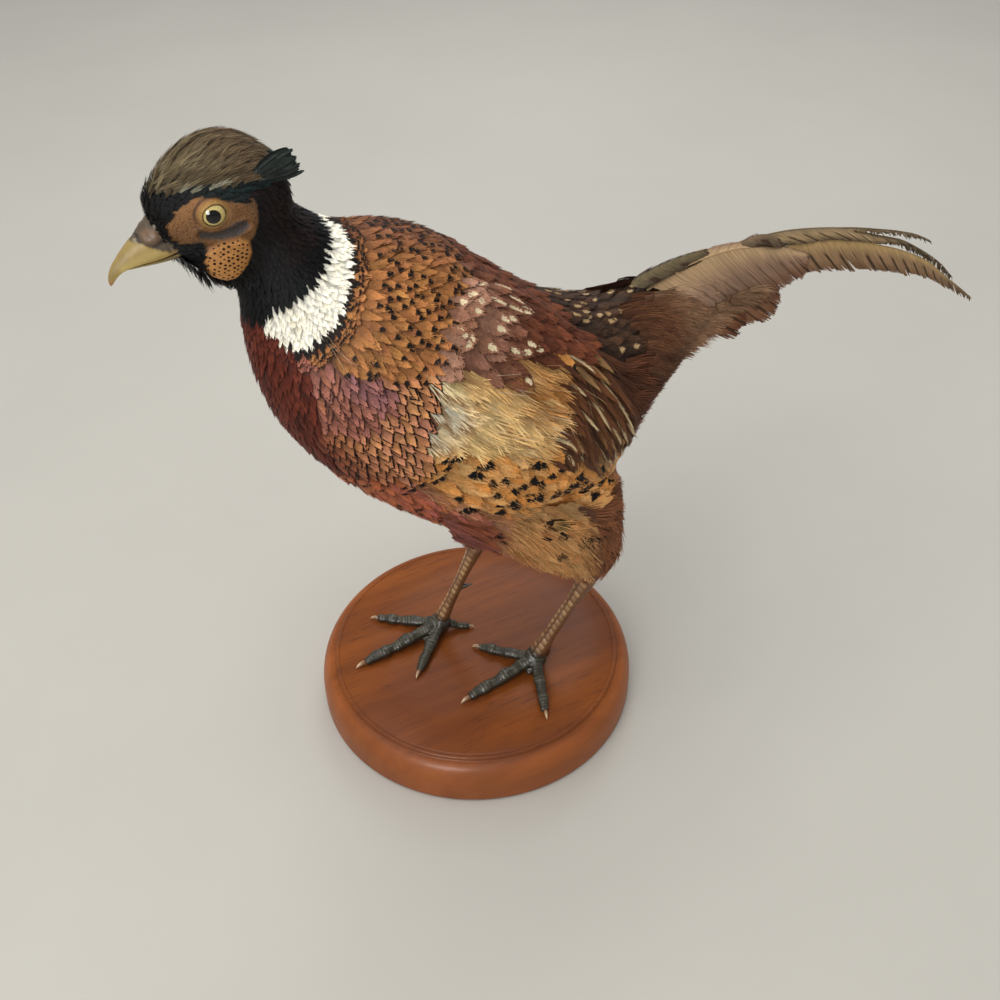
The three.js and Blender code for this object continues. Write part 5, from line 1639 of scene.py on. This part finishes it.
# Shaft of each tail feather on the left side: x, y, z, outer vane width, inner vane width and
# the outer vane's slope. The right side's x is mirrored in the middle plane.
TAIL_QUILLS = {
    "second": ((11, 112, 257, 34, 6, 60), (11.2, 124, 260.5, 38, 6.5, 60), (11.4, 138, 263.5, 36, 7, 60),
               (11.5, 154, 264.5, 31, 7, 58), (11.8, 172, 263.5, 27, 7, 56), (12.6, 188, 260.5, 22, 6, 54),
               (13.6, 204, 256, 15, 5, 53), (15, 218, 250.5, 8, 3.5, 52), (16, 227, 246.5, 3, 1.5, 52),
               (16.4, 231, 245, 0.6, 0.5, 52)),
    "central": ((11, 150, 257, 12, 4, 58), (11.2, 180, 256, 17, 5, 58), (11.6, 204, 253.5, 18, 5, 58),
                (12, 231, 251.5, 18, 5, 60), (12, 255, 245.5, 17.5, 5, 62), (12, 276, 238.5, 16.5, 4.6, 62),
                (12, 298, 230, 15.5, 4.2, 62), (12, 326, 217.5, 13.5, 4, 60), (12, 358, 199.5, 10, 3.2, 58),
                (12, 386, 178, 6, 2.4, 56), (12, 405, 163.5, 3.4, 1.6, 56), (12, 424, 148.5, 0.8, 0.4, 56)),
    "third": ((15, 108, 246, 20, 5, 60), (16.5, 124, 249.5, 26, 5, 60), (17.5, 142, 251, 27, 5, 58),
              (18.5, 160, 250, 24, 5, 56), (19.5, 176, 247, 18, 4, 55), (20.5, 192, 243.5, 8, 3, 54),
              (21, 201, 241.5, 0.8, 0.5, 54)),
    "fourth": ((21, 106, 236, 14, 5, 64), (22.5, 119, 239, 18, 5, 62), (24, 133, 240.5, 19, 5, 60),
               (25, 147, 240, 15, 4, 58), (26, 160, 238.5, 8, 3, 55), (26.5, 168, 237.5, 0.8, 0.5, 54)),
}
RIGHT_CENTRAL = ((6, 150, 260, 12, 6, 56), (5.2, 185, 262.5, 17, 8, 54), (5, 208, 260.5, 18, 9.5, 52),
                 (5, 230, 257, 18, 9.5, 52), (5, 258, 250, 17, 9, 54), (5, 278, 243.5, 14, 8, 54),
                 (5, 305, 231.5, 10, 6, 52), (5, 322, 224.5, 7, 5, 50), (5, 339, 216.5, 5, 4, 50),
                 (5, 366, 199.5, 4, 3.4, 50), (5, 387, 184, 3, 2.6, 50), (5, 403, 169, 0.8, 0.5, 50))
WISP = ((5, 262, 248.5, 2, 3, 46), (5, 285, 242, 2.5, 3, 46), (5, 309, 234, 2.5, 2.5, 44), (5, 330, 226.5, 2.5, 2.2, 42),
        (5, 350, 218, 2, 2, 42), (5, 366, 209, 0.6, 0.5, 42))
CURLED = ((9.5, 180, 262, 3, 3, 46), (9.5, 187, 264.8, 5, 4.5, 46), (10, 196, 265.8, 6.5, 5.5, 48), (11, 205, 262.8, 5, 4, 52),
          (12, 212, 258, 1, 1, 55))
COVERT_LONG = ((7.5, 102, 262, 5, 5, 34), (7.5, 116, 265.6, 6.5, 8, 38), (7.5, 132, 267.4, 6, 7, 42),
               (8, 146, 268, 4.5, 5, 46), (8.5, 157, 267.4, 1, 1, 50))
TAIL_TONES = {
    "second": ((180, 150, 112), (138, 110, 90), (112, 78, 58), 10.5),
    "central": ((188, 156, 106), (148, 118, 88), (118, 88, 64), 14.5),
    "under": ((150, 130, 98), (134, 112, 84), (100, 80, 60), 12.0),
    "third": ((168, 134, 100), (136, 98, 72), (108, 70, 48), 11.0),
    "fourth": ((148, 108, 76), (120, 80, 56), (94, 58, 40), 11.0),
    "right": ((132, 114, 88), (150, 126, 92), (96, 80, 60), 14.5),
    "covert": ((112, 98, 72), (92, 80, 60), (72, 60, 46), 22.0),
    "curled": ((124, 104, 82), (104, 86, 68), (84, 68, 54), 30.0),
}


def make_tail_feather(name, rows, tones, sign, lane, layer, worn, replaced, stem=1.0):
    """A long feather built barb by barb, with dark bars across the outer half of its vane."""
    rows = smooth_rows(rows, 14)
    shaft = rows[:, :3].copy()
    if sign < 0 and name != "quill_central_R":
        shaft[:, 0] = 2 * MIDLINE_X - shaft[:, 0]
    walked = np.concatenate([[0], np.cumsum(np.linalg.norm(np.diff(shaft, axis=0), axis=1))])
    total = walked[-1]
    run = unit(np.gradient(shaft, axis=0))
    above = unit(np.cross([1.0, 0, 0], run))
    pale, mid, edge_tone, bar_every = tones
    coat = Coat()
    pitch = 0.62
    roots = np.arange(2, total - 1.5, pitch)
    for web, is_outer in (("outer", True), ("inner", False)):
        s = roots + dice.uniform(-0.2, 0.2, len(roots))
        count = len(s)
        at_root = s / total
        width = np.interp(s, walked, rows[:, 3 if is_outer else 4])
        group = np.cumsum(dice.random(count) < 0.075)
        group_turn = dice.normal(0, 1, group.max() + 1)[group]
        group_reach = dice.uniform(0.9, 1.04, group.max() + 1)[group]
        frayed = ramp(at_root, worn, min(worn + 0.28, 1.0))
        missing = dice.random(count) < 0.5 * frayed
        width = width * group_reach * dice.uniform(0.97, 1.03, count) * (1 - frayed * dice.uniform(0, 0.45, count))
        slope_back = np.where(is_outer, 0.95, 1.5) + 0.35 * at_root + 0.9 * frayed
        steps = np.linspace(0, 1, 7)
        out = 0.1 + (width[:, None] - 0.1) * steps[None]
        back = out * (slope_back[:, None] * (0.6 + 0.55 * steps[None]))
        back = back + (group_turn * (0.5 + 1.2 * frayed))[:, None] * steps[None] ** 2
        here = np.clip(s[:, None] + back, 0, total + 6)
        middle = np.stack([np.interp(here, walked, shaft[:, k]) for k in range(3)], 2)
        beyond = np.maximum(here - total, 0)
        middle = middle + run[-1] * beyond[..., None]
        along_run = unit(np.stack([np.interp(here, walked, run[:, k]) for k in range(3)], 2))
        up = unit(np.stack([np.interp(here, walked, above[:, k]) for k in range(3)], 2))
        slope = np.radians(np.interp(here, walked, rows[:, 5]))[..., None]
        lateral = np.array([1.0, 0, 0]) * sign
        if is_outer:
            direction = lateral * np.cos(slope) - up * np.sin(slope)
            droop = 0.012 * out ** 1.7
        else:
            flatter = slope * (-0.3 if "second" in name else 0.45)
            direction = -lateral * np.cos(flatter) - up * np.sin(flatter)
            droop = 0.02 * out ** 1.8
        outward = unit(np.cross(along_run, direction) * (sign if is_outer else -sign))
        outward = np.where(dot(outward, up)[..., None] < 0, -outward, outward)
        drift = dice.normal(0, 0.12, count) + 0.25 * group_turn
        middle = middle + direction * out[..., None] - outward * droop[..., None]
        raised = up + (outward - up) * ramp(steps, 0.0, 0.3)[None, :, None]
        middle = middle + raised * (layer + (drift[:, None] * steps[None]))[..., None]
        middle[..., 2] -= (frayed[:, None] * steps[None] ** 2 * dice.uniform(-0.5, 2.5, count)[:, None])
        half = pitch * np.interp(steps, (0, 0.7, 1), (0.85, 0.8, 0.25))[None] * (1 + 0.25 * frayed[:, None]) \
            * dice.uniform(0.85, 1.2, count)[:, None] * np.where(is_outer, 1.15, 1.25)
        edge = unit(along_run + direction * -0.45)
        tilt = outward * 0.10
        a = middle - edge * half[..., None] - tilt
        b = middle + edge * half[..., None] + tilt
        pair = np.stack([a, b], 2).reshape(-1, 3)
        near_body = pair[:, 1] < 186
        if near_body.any():
            found, normal = on_skin(pair[near_body])
            depth = dot(pair[near_body] - found, normal)
            pair[near_body] += normal * np.maximum(1.2 + layer * 0.5 - depth, 0)[:, None]
            buried = np.zeros(len(pair), bool)
            buried[near_body] = depth < -5
            missing |= buried.reshape(count, -1).any(axis=1)
        pair = pair.reshape(count, -1, 3)[~missing]
        share = steps[None] + np.zeros((count, 1))
        if "second" in name and not is_outer:
            share = share * 0.4
        tint = blend(np.broadcast_to(colour(*pale), share.shape + (3,)), colour(*mid), ramp(share, 0.02, 0.5))
        tint = blend(tint, colour(*edge_tone), ramp(share + 0.1 * group_turn[:, None] * 0.5, 0.55, 1.05))
        phase = (s / bar_every) % 1
        bar = ramp(np.abs(phase - 0.5), 0.13, 0.085)[:, None] * ramp(share, 0.3, 0.5) * (0.5 if "second" in name else 0.85)
        tint = blend(tint, colour(58, 42, 32), bar)
        tint = blend(tint, colour(88, 76, 60), frayed[:, None] * 0.6 * np.ones_like(share))
        tint = tint * dice.uniform(0.84, 1.14, (count, 1, 1))
        tint = np.repeat(tint, 2, axis=1).reshape(count, -1, 3)[~missing]
        vane = np.zeros((count, len(steps), 2, 3))
        vane[..., 0] = (share * 0.9)[..., None]
        vane[..., 1] = 0.7 + 0.25 * share[..., None]
        vane[..., 2] = dice.random(count)[:, None, None]
        vane = vane.reshape(count, -1, 3)[~missing]
        kept = int((~missing).sum())
        blank = np.zeros(tint.shape)
        own_uv = np.stack([0.03 + 0.94 * at_root, np.full(count, 0.008 + lane * 0.018 + 0.007 * is_outer)], 1)[~missing]
        coat.add_painted(pair, vane, grid_faces(len(steps), 2), own_uv, (tint, blank, blank, blank, blank))
        print("tail", name, web, kept)
    stalk = (0.14 + 0.5 * (1 - walked / total) ** 0.8) * stem
    centres = shaft + above * (layer * 0.8 + 0.25 * stalk)[:, None]
    near_body = centres[:, 1] < 186
    if near_body.any():
        found, normal = on_skin(centres[near_body])
        depth = dot(centres[near_body] - found, normal)
        centres[near_body] += normal * np.maximum(1.4 + layer * 0.5 - depth, 0)[:, None]
    rings = sweep(centres, stalk, stalk * 0.7, 8)
    tone = blend(np.tile(colour(*pale) * 0.9, rings.shape[:2] + (1,)), colour(92, 72, 50),
                 ramp(walked / total, 0.3, 1.0)[:, None] * 0.7 + np.zeros((1, 8)))
    flat = rings.reshape(1, -1, 3)
    vane = np.full(flat.shape, 0.8)
    blank = np.zeros(flat.shape)
    coat.add_painted(flat, vane, grid_faces(len(rings), 8, True), np.array([[0.01, 0.008 + lane * 0.018]]),
                     (tone.reshape(1, -1, 3), blank, blank, blank, blank))
    piece = coat.build(name, tail_paint, "tail_feather")
    if replaced:
        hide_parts(replaced)


tail_paint = feather_paint("tail", 0.6, 0.0, 30.0, 0.22)
make_tail_feather("quill_second_L", TAIL_QUILLS["second"], TAIL_TONES["second"], 1, 0, 1.6, 0.97, "tail_second_L")
make_tail_feather("quill_central_L", TAIL_QUILLS["central"], TAIL_TONES["central"], 1, 1, 0.6, 0.7, "tail_central_L")
make_tail_feather("quill_third_L", TAIL_QUILLS["third"], TAIL_TONES["third"], 1, 2, 0.9, 0.9, "tail_third_L", 0.3)
make_tail_feather("quill_fourth_L", TAIL_QUILLS["fourth"], TAIL_TONES["fourth"], 1, 3, 0.3, 0.9, "tail_fourth_L", 0.3)
make_tail_feather("quill_central_R", RIGHT_CENTRAL, TAIL_TONES["right"], -1, 4, 0.8, 0.5, "tail_central_R")
make_tail_feather("quill_second_R", TAIL_QUILLS["second"], TAIL_TONES["under"], -1, 5, 0.4, 0.97, "tail_second_R")
make_tail_feather("quill_third_R", TAIL_QUILLS["third"], TAIL_TONES["third"], -1, 6, 0.3, 0.9, "tail_third_R", 0.3)
make_tail_feather("quill_fourth_R", TAIL_QUILLS["fourth"], TAIL_TONES["fourth"], -1, 7, 0.0, 0.9, "tail_fourth_R", 0.3)
make_tail_feather("quill_wisp", WISP, TAIL_TONES["right"], 1, 11, 0.8, 0.1, None)
make_tail_feather("covert_curled", CURLED, TAIL_TONES["curled"], 1, 8, 1.0, 0.7, None, 0.05)
make_tail_feather("covert_long", COVERT_LONG, TAIL_TONES["covert"], 1, 12, 1.0, 0.8, None, 0.3)

# Lower edge of the closed tail, as y and z, and how high up the tail's side the soft coverts reach, as y and height.
TAIL_EDGE = ((112, 219), (126, 223), (146, 225.5), (165, 230), (185, 236.5), (200, 238))
COVERT_REACH = ((102, 38), (112, 40), (122, 37), (134, 29), (146, 19), (156, 10), (170, 4), (200, 3))


def make_undertail():
    """Soft brown feathers over the root of the closed tail and along its lower edge."""
    edge, limit = np.array(TAIL_EDGE, float), np.array(COVERT_REACH, float)
    coat = Coat()
    for sign in (1, -1):
        y, high = dice.uniform(102, 200, 1150), dice.uniform(0, 40, 1150)
        kept = high < np.interp(y, limit[:, 0], limit[:, 1]) * dice.uniform(0.8, 1.1, len(y))
        y, high = y[kept], high[kept]
        count = len(y)
        z = np.interp(y, edge[:, 0], edge[:, 1]) + dice.uniform(-1.2, 1.2, count)
        out_to = np.interp(y, (102, 136, 150, 165), (36.5, 36, 33, 29.5))
        tip = np.stack([out_to - high * 0.5, y, z + high * 0.87], 1)
        reach = dice.uniform(15, 22, count)
        root = tip + np.stack([-1 + 0 * y, -reach, 0.34 * reach], 1)
        share = np.linspace(0, 1, 5)[None, :, None]
        path = root[:, None] + (tip - root)[:, None] * share
        path[..., 2] += 1.5 * np.sin(np.pi * share[..., 0])
        normals = np.broadcast_to(unit(np.array([0.87, 0, 0.5])), path.shape).copy()
        if sign < 0:
            path[..., 0] = 2 * MIDLINE_X - path[..., 0]
            normals[..., 0] *= -1
        found, outward = on_skin(path.reshape(-1, 3))
        depth = dot(path.reshape(-1, 3) - found, outward)
        path = (path.reshape(-1, 3) + outward * np.maximum(1.5 - depth, 0)[:, None]).reshape(path.shape)
        lies = unit(np.gradient(path, axis=1))
        tint = pick(count, colour(106, 67, 47), colour(82, 50, 36), colour(134, 90, 60))
        tint = blend(tint, pick(count, colour(168, 132, 100), colour(136, 98, 72)), ramp(y, 116, 140)) * speckle(count)
        blank = np.zeros((count, 3))
        colours = (tint, blank, tint * 0.7, blank, blank)
        lifts = (dice.uniform(0.8, 1.4, count), dice.uniform(1.0, 2.0, count))
        coat.add(make_hairs((path, normals, lies), reach * 1.05, dice.uniform(3, 4, count), lifts, 9, 0.3, 0.7, 0.02),
                 path[:, 0], colours)
    coat.build("coat_undertail", down_paint, "tail_feather")


make_undertail()

# ---------------------------------------------------------------- ear tufts and the face's small feathers

# Rows of left, back, up, half height and half thickness, as the CAD tufts have them.
EAR_TUFTS = {
    "L": ((15.4, 19, 2.6, 2.6, 1.2), (16, 23, 2.8, 3.8, 1.8), (15.4, 28, 2.4, 5.2, 2), (14.6, 34, 1.0, 6.4, 1.5),
          (13.8, 39.2, -0.4, 6.2, 0.9)),
    "R": ((15.2, 17, -2, 2.8, 1.2), (16, 21, -3.4, 4, 1.8), (15.6, 26, -5, 5, 2), (14.2, 32, -8, 4.8, 1.4),
          (12.6, 36.4, -11, 4.0, 0.9)),
}


def make_ear_tuft(side, sign, lane):
    """A blunt tuft of stiff dark green feathers that stands off the nape."""
    rows = smooth_rows(EAR_TUFTS[side], 6)
    walked = np.linspace(0, 1, len(rows))
    count = 420
    start = dice.uniform(0, 0.55, count)
    reach = dice.uniform(0.72, 1.02, count) - 0.1 * (dice.random(count) < 0.2)
    high = dice.uniform(-1, 1, count)
    deep = dice.uniform(-1, 1, count)
    steps = np.linspace(0, 1, 6)
    share = start[:, None] + (reach - start)[:, None] * steps[None]
    left, back, up, tall, thick = (np.interp(share, walked, rows[:, k]) for k in range(5))
    notch = 0.05 * np.sin(high * 11)[:, None] * steps[None]
    place = np.stack([
        sign * (left + thick * deep[:, None] * np.sqrt(np.clip(1 - high ** 2, 0.08, 1))[:, None]),
        back + notch * 16, up + tall * high[:, None]], 2)
    middle = from_head(place)
    half = 0.62 * np.interp(steps, (0, 0.3, 0.75, 1), (0.5, 1, 1, 0.3))[None] * dice.uniform(0.7, 1.2, count)[:, None]
    flat = unit(from_head(np.array([[0.0, 0, 1]])) - from_head(np.zeros((1, 3))) + dice.normal(0, 0.25, (count, 3)))
    pair = np.stack([middle - flat[:, None] * half[..., None], middle + flat[:, None] * half[..., None]], 2)
    points = pair.reshape(count, -1, 3)
    tone = pick(count, colour(34, 37, 37), colour(48, 57, 54), colour(27, 28, 30), colour(74, 82, 76))
    tint = np.repeat(tone[:, None], points.shape[1], axis=1)
    vane = np.zeros((count, len(steps), 2, 3))
    vane[..., 1] = 0.5 + 0.5 * steps[None, :, None]
    vane[..., 2] = dice.random(count)[:, None, None]
    blank = np.zeros(points.shape)
    uv = np.stack([0.03 + 0.94 * dice.random(count), np.full(count, 0.008 + lane * 0.018)], 1)
    coat = Coat()
    coat.add_painted(points, vane.reshape(count, -1, 3), grid_faces(len(steps), 2), uv, (tint, blank, blank, blank, blank))
    piece = coat.build("tuft_" + side, vane_paint, "head_feather")
    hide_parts("ear_tuft_" + side)


make_ear_tuft("L", 1, 9)
make_ear_tuft("R", -1, 10)


def make_face_dots():
    """Rows of tiny dark tufts on the wattle, and finer ones before the eye."""
    spots, sizes = [], []
    for step, size, outline, margin in ((2.15, 0.5, WATTLE_OUTLINE, 0.6), (1.45, 0.2, FACE_OUTLINE, 0.8)):
        for row in range(-40, 40):
            for column in range(-40, 40):
                back = (column + 0.5 * (row % 2)) * step
                up = row * step * 0.87
                if abs(back) < 24 and abs(up) < 40:
                    spots.append((back, up))
                    sizes.append((size, margin, outline is WATTLE_OUTLINE))
    flat = np.array(spots) + dice.normal(0, 0.22, (len(spots), 2))
    sizes = np.array(sizes, float)
    wattle = inside(flat, WATTLE_OUTLINE)
    face = inside(flat, FACE_OUTLINE)
    groove = polyline_distance(flat, GROOVE_LINE)
    eye = np.hypot(flat[:, 0] / LID_HALF[0], flat[:, 1] / LID_HALF[1])
    large = (sizes[:, 2] > 0) & (wattle > 0.6)
    small = (sizes[:, 2] == 0) & (face > 0.8) & (wattle < -0.4) & (groove > 2.6) & (eye > 1.9) & (dice.random(len(flat)) < 0.6)
    chosen = large | small
    flat, size = flat[chosen], sizes[chosen, 0] * dice.uniform(0.75, 1.25, chosen.sum())
    coat = Coat()
    for sign in (1, -1):
        outer = from_head(np.concatenate([np.full((len(flat), 1), 22.0 * sign), flat], 1))
        hits, normals = [], []
        for point in outer:
            place, _, face_index, _ = skin_tree.ray_cast(Vector(point), Vector(-sign * head_left))
            hits.append(place if place is not None else point)
            normals.append(face_normals[face_index] if place is not None else head_left * sign)
        roots, normal = np.array(hits), np.array(normals)
        run = unit(head_back - 0.5 * head_up - normal * dot(normal, head_back - 0.5 * head_up)[:, None])
        across = np.cross(normal, run)
        turn = np.arange(7) / 7 * 2 * math.pi
        rim = (roots[:, None] + (run[:, None] * np.cos(turn)[None, :, None] * 1.25
                                 + across[:, None] * np.sin(turn)[None, :, None]) * size[:, None, None]
               - normal[:, None] * 0.05)
        top = roots + normal * (0.2 + size * 0.55)[:, None] + run * (size * 0.35)[:, None]
        points = np.concatenate([rim, top[:, None]], 1)
        faces = np.array([(k, (k + 1) % 7, 7, 7) for k in range(7)])
        tint = np.tile(colour(48, 28, 20), (len(roots), 8, 1)) * dice.uniform(0.7, 1.3, (len(roots), 1, 1))
        vane = np.full(points.shape, 0.8)
        blank = np.zeros(points.shape)
        coat.add_painted(points, vane, faces, skin_map(roots), (tint, blank, blank, blank, blank))
    coat.build("coat_face", down_paint, "head_feather")


make_face_dots()

# ---------------------------------------------------------------- stage, lights, camera

CAMERA_PLACE = Vector((0.4242, -0.2553, 0.579))
CAMERA_FORWARD = Vector((-0.6349, 0.4123, -0.6533))
CAMERA_LEVEL = Vector((0.5446, 0.8387, 0))
CAMERA_ROLL = math.radians(0.84)
CAMERA_LENS = 40.68


def add_floor():
    material = Paint("floor", 0.7)
    cloud = material.noise(material.place(), 3.0, 5.0, 0.6)
    base = material.mix(cloud, colour(184, 181, 173), colour(197, 194, 185))
    material.finish(base)
    bpy.ops.mesh.primitive_plane_add(size=8)
    floor = bpy.context.object
    floor.name = "floor"
    floor.data.materials.append(material.material)


def add_light(name, place, target, size, power, tone=(1, 1, 1), glossy_only=False):
    data = bpy.data.lights.new(name, "AREA")
    data.shape = "DISK"
    data.size = size
    data.energy = power
    data.color = tone
    light = bpy.data.objects.new(name, data)
    light.location = place
    light.visible_diffuse = not glossy_only
    light.rotation_euler = (Vector(target) - Vector(place)).to_track_quat("-Z", "Y").to_euler()
    bpy.context.scene.collection.objects.link(light)


def add_camera():
    forward = CAMERA_FORWARD.normalized()
    level = CAMERA_LEVEL.normalized()
    upright = level.cross(forward)
    right = level * math.cos(CAMERA_ROLL) - upright * math.sin(CAMERA_ROLL)
    above = upright * math.cos(CAMERA_ROLL) + level * math.sin(CAMERA_ROLL)
    turn = Matrix((right, above, -forward)).transposed()
    data = bpy.data.cameras.new("camera")
    data.sensor_width = 36
    data.lens = CAMERA_LENS
    data.clip_start = 0.01
    camera = bpy.data.objects.new("camera", data)
    camera.matrix_world = Matrix.Translation(CAMERA_PLACE) @ turn.to_4x4()
    bpy.context.scene.collection.objects.link(camera)
    bpy.context.scene.camera = camera


def add_world():
    world = bpy.data.worlds.new("world")
    world.use_nodes = True
    world.node_tree.nodes["Background"].inputs["Color"].default_value = (0.98, 0.99, 1.0, 1)
    world.node_tree.nodes["Background"].inputs["Strength"].default_value = 0.44
    bpy.context.scene.world = world


add_floor()
add_light("overhead", (-0.1, -0.35, 2.0), (0, 0, 0.2), 2.0, 24, (1, 0.985, 0.96))
add_light("key", (0.7, -1.2, 1.3), (0, 0, 0.25), 1.0, 8.5, (1, 0.98, 0.95))
add_light("window", (0.599, -0.79, 0.576), (0.02, -0.13, 0.378), 0.46, 11, glossy_only=True)
add_light("rim", (-1.0, 0.9, 1.3), (0, 0, 0.25), 0.9, 6)
add_camera()
add_world()
bpy.context.scene.view_settings.view_transform = "Standard"
